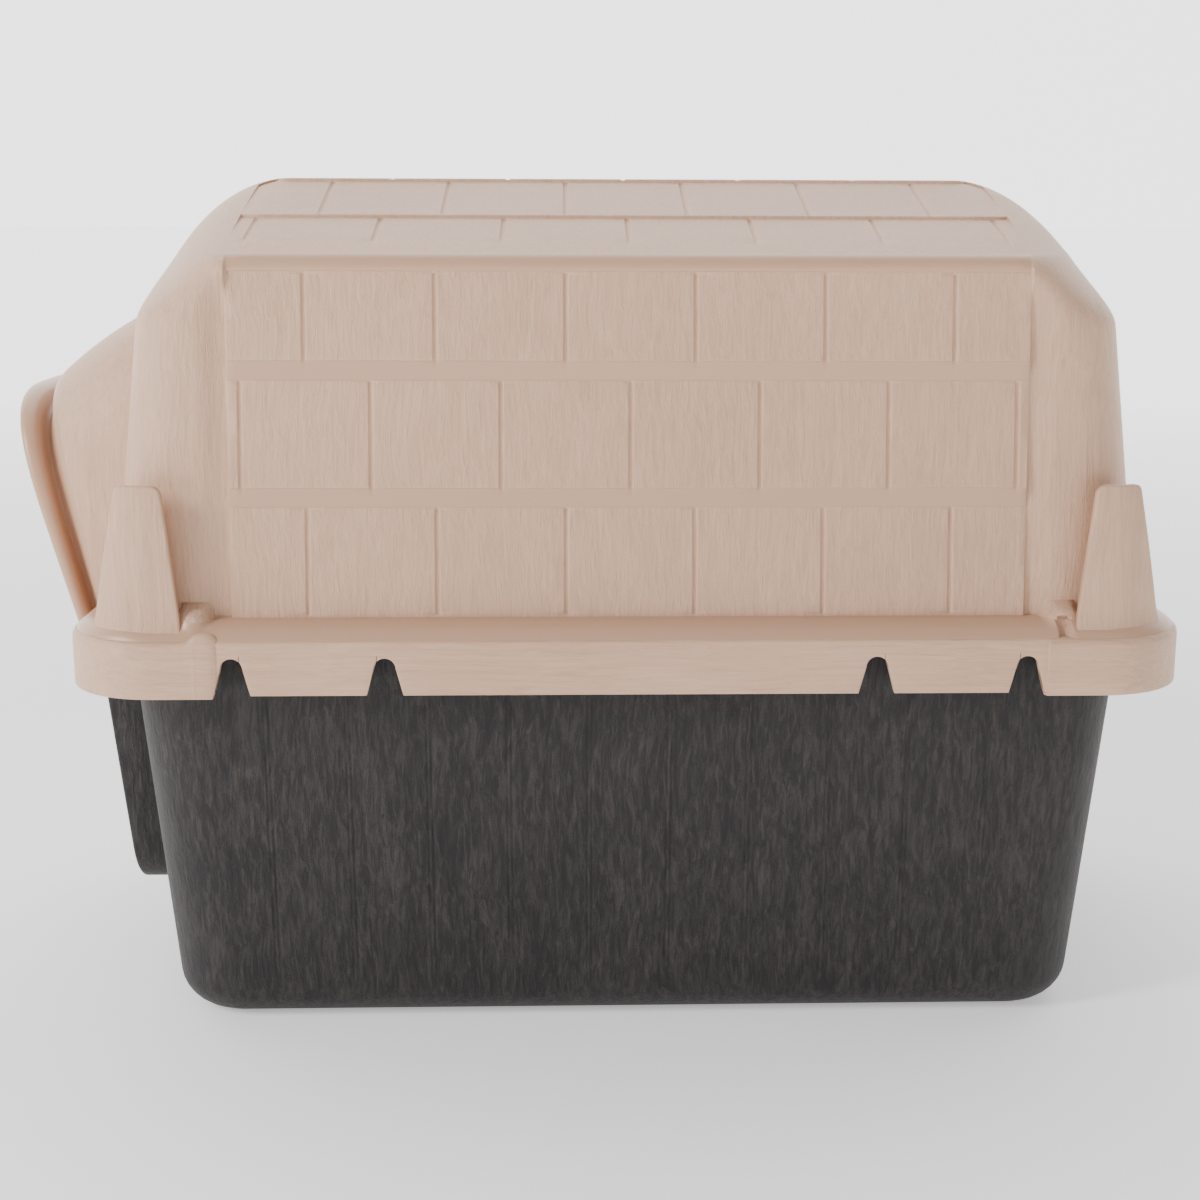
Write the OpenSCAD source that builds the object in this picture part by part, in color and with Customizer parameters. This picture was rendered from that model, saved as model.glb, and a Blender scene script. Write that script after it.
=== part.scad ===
// Two-piece moulded dog house: a barn-shaped upper shell that drops over a tub-shaped base.
// Millimetres, +Z up, ground at Z = 0, X along the house with the doorway at -X.
// The origin is the bottom centre of the whole box. House-centred sizes are shifted by house_x.

/* [Overall] */
// Length over the upper shell's skirt, without the door hood
skirt_length = 756; // [640:1:900]
// Width over the skirt's corner sections
skirt_width = 484; // [420:1:580]
// Height of the ridge above the ground
ridge_height = 585; // [540:1:660]
// Height of the skirt's lower edge above the ground
base_height = 250; // [200:1:270]

/* [Upper shell] */
// Wall thickness of the structural foam
wall = 6; // [4:0.5:8]
// Height of the skirt up to its crease
skirt_height = 38; // [34:1:48]
// Top of the sloping shoulder above the skirt's lower edge
shoulder_top = 47.5; // [44:0.5:60]
// Inset of the long wall from the skirt at the shoulder
wall_inset = 25; // [20:1:34]
// Inset of the end wall from the skirt at the shoulder
end_inset = 29; // [22:1:40]
// Inset of the knuckle between wall and roof from the skirt
knuckle_inset = 45.3; // [38:0.1:60]
// Height of the knuckle below the ridge
roof_rise = 53; // [40:1:90]
// Half width of the flat ridge strip
ridge_half = 14; // [8:1:24]
// Inward lean of the end walls in degrees
end_lean = 5.7; // [2:0.1:9]
// Vertical corner radius of the house body
body_corner = 42; // [25:1:60]
// Rounding where the end walls turn into the roof
gable_round = 74; // [50:1:95]
// Corner radius of the skirt in plan
skirt_corner = 64; // [50:1:80]
// How much the corner sections stand proud of the middle of the skirt
corner_step = 2; // [1:0.5:4]

/* [Shingle panel] */
// Half length of the shingled panel on each long wall
panel_half = 265; // [220:1:290]
// Depth of a shingle row at its upper edge
row_top_depth = 3.2; // [2:0.1:4]
// Depth of a shingle row at its lower lip
row_lip_depth = 0.4; // [0.2:0.1:1]
// Height of the smooth band under each lip
band_height = 13; // [9:0.5:18]
// Number of shingle rows on the wall
shingle_rows = 3; // [2:1:4]
// Height of the lowest shingle row
first_row = 72.5; // [50:0.5:80]
// Spacing of the shingle rows
row_pitch = 83; // [70:0.5:90]
// Smooth strip between the top row and the knuckle
knuckle_strip = 9; // [6:0.5:14]
// Spacing of the upright plank grooves
plank_pitch = 85.4; // [60:0.1:120]
// Width of a plank groove
groove_width = 2.4; // [1.5:0.1:4]
// Depth of a plank groove below the row face
groove_depth = 1.2; // [0.6:0.1:1.8]

/* [Doorway] */
// Half width of the hood rim
rim_half = 121.5; // [100:0.5:140]
// Top of the hood rim above the skirt's lower edge
rim_top = 186.5; // [165:0.5:200]
// Half width of the doorway's clear opening at the hood's front
door_half = 103.5; // [90:0.5:125]
// Reach of the hood rim in front of the skirt's end at the skirt's lower edge
hood_reach = 7.3; // [0:0.1:12]
// Forward lean of the hood rim, as a slope
hood_lean = 0.2747; // [0.15:0.0001:0.36]
// How far the hood widens on each side between the rim and the wall
hood_flare = 31.5; // [10:0.5:45]
// How far the hood rises between the rim and the wall
hood_rise = 75; // [30:1:90]
// Depth of the hood from the rim to where it runs into the wall
hood_depth = 70; // [50:1:90]
// Thickness of the hood rim
rim_thick = 7; // [5:0.5:10]
// Height of the door sill above the ground
sill_height = 77; // [60:1:100]
// Number of vent slots in the rear gable
vent_count = 4; // [2:1:6]

/* [Base] */
// Inset of the base's long wall from the skirt at the skirt's lower edge
base_side_inset = 30; // [26:1:40]
// Inset of the base's end wall from the skirt at the skirt's lower edge
base_end_inset = 38; // [32:1:46]
// Draft of the base walls in degrees
base_draft = 4.5; // [2:0.1:6]
// Rounding between the base walls and the floor
floor_round = 26; // [16:1:36]
// Vertical corner radius of the base
base_corner = 48; // [30:1:60]
// Wall thickness of the base
base_wall = 6; // [4:0.5:8]
// Thickness of the floor of the base's doorway collar
sill_thick = 6; // [4:0.5:8]

/* [Snap tabs] */
// Distance from the house centre to the outer notches
notch_outer = 262; // [240:1:280]
// Distance from the house centre to the inner notches
notch_inner = 162; // [140:1:180]
// Width of a notch at the skirt's lower edge
notch_width = 24; // [16:1:30]
// Width of a notch at its top
notch_top_width = 10.5; // [8:0.5:16]
// Height of a notch
notch_height = 25; // [20:1:27]
// Gap between the tab's bending roll and its seat
hinge_gap = 0.08; // [0.05:0.01:0.1]
// Gap at the ends of the bending roll
roll_end_gap = 0.4; // [0.2:0.1:1]
// Gap between a tab's nib and the base's catch lug
catch_gap = 0.3; // [0.2:0.05:0.6]
// Depth of the nib inside the tab
nib_depth = 2.2; // [1.5:0.1:3]

/* [Ears] */
// Height of the ears above the skirt's lower edge
ear_top = 137; // [110:1:170]
// Thickness of an ear
ear_thick = 6; // [4:0.5:9]
// Inset of the ear from the skirt's corner
ear_inset = 9; // [6:0.5:14]
// Plan angle that an ear's foot turns round the corner
ear_turn = 52; // [40:1:80]

/* [Fits] */
// Gap between the upper shell and the rim it sits on
seat_gap = 0.2; // [0.1:0.05:0.5]
// Gap between the skirt and the base's flange
flange_gap = 2.5; // [1.5:0.1:4]

/* [Hidden] */
eps = 0.01;
$fn = 48;
half_l = skirt_length / 2;
half_w = skirt_width / 2;
z0 = base_height;
z_ledge = z0 + skirt_height - 5;
z_shoulder = z0 + shoulder_top;
z_knuckle = ridge_height - roof_rise;
a_shoulder = half_l - end_inset;
b_shoulder = half_w - wall_inset;
b_knuckle = half_w - knuckle_inset;
z_blend = z_knuckle - 44;
wall_angle = atan((b_shoulder - b_knuckle) / (z_knuckle - z_shoulder));
roof_angle = atan(roof_rise / (b_knuckle - ridge_half));
// Movement of the knuckle for each millimetre of inward offset
off_y = (cos(roof_angle) - sin(wall_angle)) / cos(wall_angle + roof_angle);
off_z = (cos(wall_angle) - sin(roof_angle)) / cos(wall_angle + roof_angle);
rim_front = half_l + hood_reach;
hood_front = rim_front + hood_lean * rim_top;
house_x = (hood_front - half_l) / 2;
arch_power = 3.6;
door_top = rim_top - (rim_half - door_half) * 0.8;
hinge_z = z0 + notch_height + 2;
tab_mid = (notch_outer + notch_inner) / 2;
mid_face = half_w - corner_step;
hinge_y = mid_face - wall / 2;
lug_half = (notch_outer - notch_inner) / 2 - notch_width / 2 - 6;
beige = [0.80, 0.74, 0.64];
dark = [0.16, 0.16, 0.17];

// ---------- lofting ----------

function smooth(t) = t <= 0 ? 0 : t >= 1 ? 1 : t * t * (3 - 2 * t);

// One level of a rounded box: half sizes a and b, corner semi-axes cx and cy
function ring(a, b, cx, cy, z, n = 8) = concat(
    [for (i = [0:n]) [a - cx + cx * cos(90 * i / n), b - cy + cy * sin(90 * i / n), z]],
    [for (i = [0:n]) [-a + cx - cx * sin(90 * i / n), b - cy + cy * cos(90 * i / n), z]],
    [for (i = [0:n]) [-a + cx - cx * cos(90 * i / n), -b + cy - cy * sin(90 * i / n), z]],
    [for (i = [0:n]) [a - cx + cx * sin(90 * i / n), -b + cy - cy * cos(90 * i / n), z]]);

function flat_list(l) = [for (r = l) for (p = r) p];

// Skins a list of rings with the same number of points, with end caps
module loft(rings) {
    m = len(rings[0]);
    k = len(rings);
    sides = [for (j = [0:k - 2]) for (i = [0:m - 1]) for (h = [0, 1])
        let (a = j * m + i, b = j * m + (i + 1) % m)
        h == 0 ? [a, a + m, b] : [b, a + m, b + m]];
    polyhedron(points = flat_list(rings),
        faces = concat([[for (i = [0:m - 1]) i]], sides,
            [[for (i = [m - 1:-1:0]) (k - 1) * m + i]]));
}

// ---------- upper shell body ----------

// Level z of the house body, moved inwards by off
function body_ring(z, off) =
    let (h = ridge_height - off / cos(roof_angle),
         zk = z_knuckle - off * off_z,
         bk = b_knuckle - off * off_y,
         r = gable_round - off,
         d = max(0, h - z),
         reach = d < r ? sqrt(2 * r * d - d * d) : r,
         a0 = a_shoulder - off - (z - z_shoulder) * tan(end_lean),
         a = a0 - r + reach,
         b = z <= zk ? bk + (zk - z) * tan(wall_angle)
                     : max(ridge_half - off / 4, bk - (z - zk) / tan(roof_angle)),
         w = smooth((z - z_blend) / (zk + 6 - z_blend)),
         c0 = body_corner - off,
         cx = max(1, c0 * (1 - w) + reach * w),
         cy = min(b - 0.6, c0 * (1 - w) + b * w))
    ring(a, b, cx, cy, z);

function body_levels(off) =
    let (h = ridge_height - off / cos(roof_angle), zk = z_knuckle - off * off_z)
    concat([for (i = [0:5]) z_blend + (zk - z_blend) * i / 5],
           [for (i = [1:7]) zk + (h - zk) * sin(90 * i / 7)]);

function skirt_ring(off, z) =
    ring(half_l - off, half_w - off, skirt_corner - off, skirt_corner - off, z);

// Shoulder levels between the skirt's crease and the foot of the walls
function shoulder_rings(off) = [for (i = [1:4]) let (t = i / 5, u = 1 - sqrt(1 - t * t))
    ring(half_l - off - (end_inset - off) * (0.3 * t + 0.7 * u),
         half_w - off - (wall_inset - off) * (0.3 * t + 0.7 * u),
         skirt_corner - off + (body_corner - skirt_corner) * t,
         skirt_corner - off + (body_corner - skirt_corner) * t,
         z0 + skirt_height - 1.5 + (shoulder_top - skirt_height + 1.5) * t)];

module body_outer() {
    loft(concat([skirt_ring(corner_step, z0), skirt_ring(corner_step, z0 + skirt_height - 4)],
        [skirt_ring(corner_step + 0.8, z0 + skirt_height - 1.5)],
        shoulder_rings(corner_step),
        [body_ring(z_shoulder, 0)],
        [for (z = body_levels(0)) body_ring(z, 0)]));
}

module body_inner() {
    loft(concat([skirt_ring(corner_step + wall, z0 - 20), skirt_ring(corner_step + wall, z_ledge)],
        [body_ring(z_ledge, wall)],
        [for (z = body_levels(wall)) body_ring(z, wall)]));
}

// The proud, slightly lower corner sections of the skirt
module skirt_corners() {
    difference() {
        loft([skirt_ring(1, z0 - corner_step), skirt_ring(0, z0 - corner_step + 1.5),
            skirt_ring(0, z0 + skirt_height - 3), skirt_ring(2, z0 + skirt_height)]);
        translate([0, 0, z0]) cube([2 * (notch_outer + 14), skirt_width + 10, 200], center = true);
        loft([skirt_ring(corner_step + wall, z0 - 20), skirt_ring(corner_step + wall, z_ledge)]);
    }
}

// ---------- shingled panel ----------

// Inset of the long wall's face at level z
function wall_y(z) = b_knuckle + (z_knuckle - z) * tan(wall_angle);
function row_top(i) = i == shingle_rows - 1 ? z_knuckle - knuckle_strip
                                            : z_shoulder + first_row + row_pitch * i;
function row_lip(i) = i == 0 ? z_shoulder : row_top(i - 1) + band_height;

// Region outside the stepped face, in (Y, Z), for the wall at +Y
module panel_profile() {
    far = half_w + 20;
    polygon(concat(
        [for (i = [0:shingle_rows - 1]) for (h = [0, 1])
            let (z = h == 0 ? row_lip(i) : row_top(i))
            [wall_y(z) - (h == 0 ? row_lip_depth : row_top_depth), z]],
        [[far, row_top(shingle_rows - 1)], [far, z_shoulder]]));
}

module panel_cut() {
    for (s = [0, 180])
        rotate([0, 0, s]) rotate([90, 0, 90])
            translate([0, 0, -panel_half]) linear_extrude(2 * panel_half) panel_profile();
}

// Upright grooves, with every second row moved by half a plank
module panel_grooves() {
    for (s = [0, 180]) rotate([0, 0, s])
        for (i = [0:shingle_rows - 1]) {
            lip = row_lip(i);
            top = row_top(i);
            y1 = wall_y(lip) - row_lip_depth;
            y2 = wall_y(top) - row_top_depth;
            lean = atan((y1 - y2) / (top - lip));
            for (k = [-3:3]) {
                x = (k + (i % 2 == 0 ? 0.5 : 0)) * plank_pitch;
                if (abs(x) < panel_half - groove_width)
                    translate([x, y1, lip]) rotate([lean, 0, 0])
                        translate([-groove_width / 2, -groove_depth, 1])
                            cube([groove_width, groove_depth + 6, top - lip - 2]);
            }
        }
}

// ---------- door hood ----------

// Arch points in (Y, Z above the skirt edge), from the right foot over the crown
function arch(half, crown, foot, n = 12) =
    let (rise = min(half, crown - 10))
    concat([[half, foot]],
        [for (i = [0:2 * n]) let (t = 90 * i / n, c = cos(t), s = sin(t))
            [half * sign(c) * pow(abs(c), 2 / arch_power),
             crown - rise + rise * pow(abs(s), 2 / arch_power)]],
        [[-half, foot]]);

// Arch ring at distance x in front of the house centre, leaning with slope k
function arch_ring(x, k, half, crown, foot) =
    [for (p = arch(half, crown, foot)) [-x - k * p[1], p[0], z0 + p[1]]];

function hood_ring(t, off, foot) =
    let (g = 1 - pow(1 - t, 1.25))
    arch_ring(rim_front - 2 - t * hood_depth, hood_lean * (1 - t),
        rim_half - 10 - off + hood_flare * g, rim_top - 7 - off + hood_rise * g, foot);

module hood_outer() {
    loft([for (t = [0, 0.25, 0.5, 0.75, 1]) hood_ring(t, 0, -corner_step)]);
}

module hood_inner() {
    loft(concat([arch_ring(rim_front + 20, hood_lean, door_half, door_top, -30)],
        [for (t = [0, 0.25, 0.5, 0.75, 1]) hood_ring(t, wall + (1 - t), -30)]));
}

module hood_rim() {
    foot = -corner_step;
    loft([arch_ring(rim_front, hood_lean, rim_half - 1.5, rim_top - 1.5, foot),
        arch_ring(rim_front - 1.5, hood_lean, rim_half, rim_top, foot),
        arch_ring(rim_front - rim_thick, hood_lean, rim_half, rim_top, foot)]);
}

// ---------- ears ----------

// Upright section through an ear at plan angle q round the corner, or p past the arc's near end
function ear_section(q, p, sx, sy) =
    let (t = q > 0 ? lookup(q, [[ear_turn - 28, 1], [ear_turn - 25, 0.96], [ear_turn - 23, 0.9],
                                [ear_turn, 0.03]])
                   : lookup(p, [[0, 1], [4, 1], [8, 0.96], [10, 0.9], [20, 0.03]]),
         r = skirt_corner - ear_inset,
         foot = z0 + skirt_height - 6,
         z = foot + t * (z0 + ear_top - foot),
         cx = half_l - skirt_corner - p,
         cy = half_w - skirt_corner,
         loop = [[r, foot], [r - 5 * t, z], [r - 5 * t - ear_thick, z], [r - ear_thick, foot]])
    [for (i = [0:3]) let (v = loop[sx * sy > 0 ? i : 3 - i])
        [sx * (cx + v[0] * sin(q)), sy * (cy + v[0] * cos(q)), v[1]]];

module ear(sx, sy) {
    loft(concat([for (p = [20, 10, 8, 4]) ear_section(0, p, sx, sy)],
        [for (i = [0:3]) ear_section((ear_turn - 28) * i / 3, 0, sx, sy)],
        [for (d = [25, 23, 15, 8, 0]) ear_section(ear_turn - d, 0, sx, sy)]));
}

module ears() {
    for (sx = [-1, 1]) for (sy = [-1, 1]) ear(sx, sy);
}

// ---------- skirt notches and tabs ----------

module notch_shape() {
    polygon([[-notch_width / 2 - 0.6, -4], [notch_width / 2 + 0.6, -4],
        [notch_top_width / 2 + 0.6, notch_height - 4], [notch_top_width / 2 - 2.4, notch_height],
        [-notch_top_width / 2 + 2.4, notch_height], [-notch_top_width / 2 - 0.6, notch_height - 4]]);
}

// Notches through one long skirt, centred on the given distance, at +Y
module notch(x) {
    translate([x, half_w + 4, z0]) rotate([90, 0, 0]) linear_extrude(wall + 12) notch_shape();
}

// Tab blank between two notches at +Y, house centred, with its bending roll
module tab_blank(gap, end_gap, low) {
    l = notch_outer - notch_inner - notch_top_width;
    w = wall + 2 * (gap > 0 ? gap : 0);
    translate([tab_mid, hinge_y, hinge_z]) {
        rotate([0, 90, 0]) cylinder(r = wall / 2 + gap, h = l + 2 * end_gap, center = true);
        translate([-l / 2 - end_gap, -w / 2, z0 - hinge_z - low])
            cube([l + 2 * end_gap, w, hinge_z - z0 + low]);
    }
}

module tab_pockets() {
    for (mx = [0, 1]) for (my = [0, 1]) mirror([mx, 0, 0]) mirror([0, my, 0]) {
        notch(notch_inner);
        notch(notch_outer);
        tab_blank(hinge_gap, roll_end_gap, 6);
        translate([notch_inner, hinge_y - wall, z0 - 6])
            cube([notch_outer - notch_inner, 2 * wall + 4, 6 + notch_height - 6]);
    }
}

module snap_tab() {
    color(beige) {
        difference() {
            tab_blank(0, 0, 0);
            notch(notch_inner);
            notch(notch_outer);
        }
        translate([tab_mid - lug_half, mid_face - wall - nib_depth, z0 + 7])
            rotate([90, 0, 90]) linear_extrude(2 * lug_half)
                polygon([[0, 4], [nib_depth + 1, 0], [nib_depth + 1, 8], [0, 6.5]]);
    }
}

// ---------- rear vents ----------

module vents() {
    for (i = [0:vent_count - 1])
        translate([half_l - end_inset - 30, 0, z_knuckle - 34 - i * 22])
            rotate([0, 90, 0]) linear_extrude(60) {
                square([8, 120 - i * 12], center = true);
                for (s = [-1, 1]) translate([0, s * (60 - i * 6)]) circle(d = 8);
            }
}

// ---------- base ----------

// Top of the doorway collar, just under the upper shell
collar_top = z0 - corner_step - seat_gap;

function base_ring(z, off) =
    let (d = (z0 - z) * tan(base_draft))
    ring(half_l - base_end_inset - d - off, half_w - base_side_inset - d - off,
         base_corner - off, base_corner - off, z);

// Levels of the rounded floor edge, moved inwards by off
function floor_rings(off, z_floor) =
    let (r = floor_round - off / 2)
    [for (i = [0:5]) let (q = 90 * i / 5,
        d = (z0 - z_floor - r * (1 - cos(q))) * tan(base_draft), in = r * (1 - sin(q)) + off)
        ring(half_l - base_end_inset - d - in, half_w - base_side_inset - d - in,
             max(8, base_corner - in), max(8, base_corner - in), z_floor + r * (1 - cos(q)))];

// U-shaped doorway section in (Y, Z), from the sill up to a given level
module door_u(half, bottom, top, corner) {
    translate([-half, bottom]) hull_free_u(half, top - bottom, corner);
}

module hull_free_u(half, h, corner) {
    translate([0, corner]) square([2 * half, h - corner]);
    translate([corner, 0]) square([2 * (half - corner), corner + eps]);
    for (x = [corner, 2 * half - corner]) translate([x, corner]) circle(r = corner);
}

module along_x(from, to) {
    translate([from, 0, 0]) rotate([90, 0, 90]) linear_extrude(to - from) children();
}

// Cuts away what lies in front of the collar's leaning front
module collar_front() {
    translate([-(rim_front - 6), 0, z0]) rotate([0, atan(-0.111), 0])
        translate([-200, -300, -400]) cube([200, 600, 800]);
}

module catch_lugs() {
    for (mx = [0, 1]) for (my = [0, 1]) mirror([mx, 0, 0]) mirror([0, my, 0])
        translate([tab_mid - lug_half, mid_face - wall - nib_depth - catch_gap - 5, z0 + 14])
            cube([2 * lug_half, 5, z_ledge - seat_gap - z0 - 14]);
}

module base_shell() {
    top = z_ledge - seat_gap;
    color(dark) difference() {
        union() {
            loft(concat(floor_rings(0, 0), [base_ring(z0, 0), base_ring(top - 1, 0)]));
            loft([skirt_ring(corner_step + wall + flange_gap, top - 5),
                skirt_ring(corner_step + wall + flange_gap, top)]);
            catch_lugs();
            intersection() {
                along_x(-rim_front, -half_l + base_end_inset + 30)
                    door_u(rim_half - 8, sill_height - sill_thick, collar_top, 30);
                translate([-half_l - 40, -half_w, 0]) cube([200, skirt_width, z0]);
            }
        }
        loft(concat(floor_rings(base_wall, base_wall), [base_ring(z0, base_wall),
            base_ring(top + 1, base_wall)]));
        along_x(-half_l - 40, -half_l + base_end_inset + 60)
            door_u(door_half, sill_height, top + 20, 24);
        collar_front();
        translate([-half_l - 40, -(rim_half - 2), collar_top])
            cube([40 + base_end_inset + base_wall + 8, 2 * (rim_half - 2), 80]);
    }
}

module roof_shell() {
    color(beige) difference() {
        union() {
            difference() {
                body_outer();
                panel_cut();
                panel_grooves();
            }
            skirt_corners();
            hood_outer();
            hood_rim();
            ears();
        }
        body_inner();
        hood_inner();
        tab_pockets();
        vents();
    }
}

// ---------- placing ----------

module placed(mx, my) {
    translate([house_x, 0, 0]) mirror([mx, 0, 0]) mirror([0, my, 0]) children();
}

module tab_near_front() { placed(1, 1) snap_tab(); }
module tab_near_rear() { placed(0, 1) snap_tab(); }
module tab_far_front() { placed(1, 0) snap_tab(); }
module tab_far_rear() { placed(0, 0) snap_tab(); }

placed(0, 0) roof_shell();
placed(0, 0) base_shell();
tab_near_front();
tab_near_rear();
tab_far_front();
tab_far_rear();
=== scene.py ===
import bpy
import bmesh
from math import asin, atan, atan2, copysign, cos, exp, hypot, pi, radians, sin, sqrt, tan
import numpy as np
from mathutils import Matrix, Vector


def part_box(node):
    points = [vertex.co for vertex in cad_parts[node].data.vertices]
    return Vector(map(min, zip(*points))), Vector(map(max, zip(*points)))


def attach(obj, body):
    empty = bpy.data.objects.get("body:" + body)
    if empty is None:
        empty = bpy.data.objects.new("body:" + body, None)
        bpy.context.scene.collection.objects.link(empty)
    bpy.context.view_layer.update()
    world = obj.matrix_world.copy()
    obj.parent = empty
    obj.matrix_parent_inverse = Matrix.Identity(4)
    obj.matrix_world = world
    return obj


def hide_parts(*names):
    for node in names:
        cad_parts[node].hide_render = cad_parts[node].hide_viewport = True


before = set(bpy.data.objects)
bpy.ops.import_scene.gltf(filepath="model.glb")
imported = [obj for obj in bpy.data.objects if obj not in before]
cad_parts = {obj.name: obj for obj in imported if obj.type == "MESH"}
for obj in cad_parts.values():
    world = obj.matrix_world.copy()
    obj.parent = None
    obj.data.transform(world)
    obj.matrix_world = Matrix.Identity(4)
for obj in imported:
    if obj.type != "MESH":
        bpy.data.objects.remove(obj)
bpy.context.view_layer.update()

# ---- sizes, in millimetres
MM = 0.001
roof_lo, roof_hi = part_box("roof_shell")
HALF_L = 378.0
HALF_W = roof_hi.y / MM
RIDGE = roof_hi.z / MM
HOUSE_X = roof_hi.x / MM - HALF_L
CORNER_STEP = 2.0
Z0 = roof_lo.z / MM + CORNER_STEP
WALL = 6.0
SKIRT_H = 38.0
Z_LEDGE = Z0 + SKIRT_H - 5
Z_SHOULDER = Z0 + 47.5
Z_KNUCKLE = RIDGE - 53.0
A_SHOULDER = HALF_L - 29.0
B_SHOULDER = HALF_W - 25.0
B_KNUCKLE = HALF_W - 45.3
RIDGE_HALF = 14.0
END_LEAN = tan(radians(5.7))
BODY_R = 42.0
CREASE = 3.5
SKIRT_R = 64.0
GABLE_R = 74.0
WALL_SLOPE = (B_SHOULDER - B_KNUCKLE) / (Z_KNUCKLE - Z_SHOULDER)
ROOF_SLOPE = 53.0 / (B_KNUCKLE - RIDGE_HALF)
PANEL = 265.0
PITCH = 85.4
NOTCH_OUT, NOTCH_IN = 262.0, 162.0
TAB_MID, TAB_HALF = (NOTCH_OUT + NOTCH_IN) / 2, (NOTCH_OUT - NOTCH_IN) / 2
MID_FACE = HALF_W - CORNER_STEP
RIM_FRONT = HALF_L + 7.3
HOOD_LEAN = 0.2747
RIM_HALF, RIM_TOP = 121.5, 186.5
DOOR_HALF = 103.5
POWER = 3.6
HOOD_DEPTH, HOOD_FLARE, HOOD_RISE = 70.0, 31.5, 75.0
SILL = 77.0
BASE_DRAFT = tan(radians(4.5))
BASE_A, BASE_B, BASE_R, FLOOR_R = HALF_L - 38.0, HALF_W - 30.0, 48.0, 26.0
HINGE_Z = Z0 + 27.0
HINGE_Y = MID_FACE - WALL / 2
ROLL_R, SEAT_R = 2.9, 3.08


def smooth(t):
    t = np.clip(t, 0.0, 1.0)
    return t * t * (3 - 2 * t)


# ---- materials
def new_mat(name):
    m = bpy.data.materials.new(name)
    m.use_nodes = True
    nt = m.node_tree
    nt.nodes.clear()
    out = nt.nodes.new("ShaderNodeOutputMaterial")
    bsdf = nt.nodes.new("ShaderNodeBsdfPrincipled")
    nt.links.new(bsdf.outputs[0], out.inputs[0])
    return m, nt, bsdf


def node(nt, kind, **kw):
    n = nt.nodes.new(kind)
    for k, v in kw.items():
        if k in n.inputs:
            n.inputs[k].default_value = v
        else:
            setattr(n, k, v)
    return n


def math_node(nt, op, a, b=None, clamp=False):
    n = nt.nodes.new("ShaderNodeMath")
    n.operation = op
    n.use_clamp = clamp
    for i, v in enumerate((a, b)):
        if v is None:
            continue
        if isinstance(v, (int, float)):
            n.inputs[i].default_value = v
        else:
            nt.links.new(v, n.inputs[i])
    return n.outputs[0]


def ramp(nt, fac, stops):
    r = nt.nodes.new("ShaderNodeValToRGB")
    els = r.color_ramp.elements
    while len(els) < len(stops):
        els.new(0.5)
    for e, (p, c) in zip(els, stops):
        e.position = p
        e.color = (*c, 1.0) if len(c) == 3 else c
    nt.links.new(fac, r.inputs[0])
    return r.outputs[0]


def noise(nt, vector, scale, detail, rough, distortion=0.0):
    n = node(nt, "ShaderNodeTexNoise", Scale=scale, Detail=detail, Roughness=rough,
             Distortion=distortion)
    nt.links.new(vector, n.inputs["Vector"])
    return n


def plastic(name, grain, base, dark, light, rough, bump, streak=(420.0, 420.0, 26.0),
            spec=0.5, tilt=0.0, dist=0.0012, cloud=0.45):
    """Structural-foam plastic with a moulded wood grain. grain: 'up', 'along', 'none'."""
    m, nt, b = new_mat(name)
    tc = nt.nodes.new("ShaderNodeTexCoord")
    mp = nt.nodes.new("ShaderNodeMapping")
    across, long = streak[0], streak[2]
    mp.inputs["Scale"].default_value = streak if grain != "along" else (long, across, across)
    mp.inputs["Rotation"].default_value = (0.0, tilt, 0.0)
    nt.links.new(tc.outputs["Object"], mp.inputs["Vector"])
    # slow wander that bends the grain
    wander = noise(nt, tc.outputs["Object"], 9.0, 3.0, 0.6)
    off = nt.nodes.new("ShaderNodeVectorMath")
    off.operation = "MULTIPLY_ADD"
    nt.links.new(wander.outputs["Color"], off.inputs[0])
    off.inputs[1].default_value = (5.0, 5.0, 3.0)
    nt.links.new(mp.outputs[0], off.inputs[2])
    fine = noise(nt, off.outputs[0], 1.0, 4.0, 0.62, 0.6)
    coarse = noise(nt, off.outputs[0], 0.33, 3.0, 0.55, 1.1)
    pores = noise(nt, tc.outputs["Object"], 900.0, 2.0, 0.7)
    blotch = noise(nt, tc.outputs["Object"], 4.2, 4.0, 0.6)
    g = math_node(nt, "MULTIPLY", fine.outputs["Fac"], 0.65)
    g2 = math_node(nt, "MULTIPLY", coarse.outputs["Fac"], 0.35)
    h = math_node(nt, "ADD", g, g2)
    if grain == "none":
        h = math_node(nt, "ADD", math_node(nt, "MULTIPLY", h, 0.15),
                      math_node(nt, "MULTIPLY", pores.outputs["Fac"], 0.25))
    else:
        h = math_node(nt, "ADD", h, math_node(nt, "MULTIPLY", pores.outputs["Fac"], 0.22))
    spread = math_node(nt, "SUBTRACT", blotch.outputs["Fac"], 0.5)
    spread = math_node(nt, "MULTIPLY", spread, cloud)
    tone = math_node(nt, "ADD", h, spread)
    col = ramp(nt, tone, [(0.30, dark), (0.55, base), (0.85, light)])
    nt.links.new(col, b.inputs["Base Color"])
    r = math_node(nt, "MULTIPLY", h, 0.28)
    r = math_node(nt, "ADD", r, rough - 0.14, clamp=True)
    nt.links.new(r, b.inputs["Roughness"])
    b.inputs["Specular IOR Level"].default_value = spec
    bm_ = nt.nodes.new("ShaderNodeBump")
    bm_.inputs["Strength"].default_value = bump
    bm_.inputs["Distance"].default_value = dist
    nt.links.new(h, bm_.inputs["Height"])
    nt.links.new(bm_.outputs[0], b.inputs["Normal"])
    return m


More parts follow.
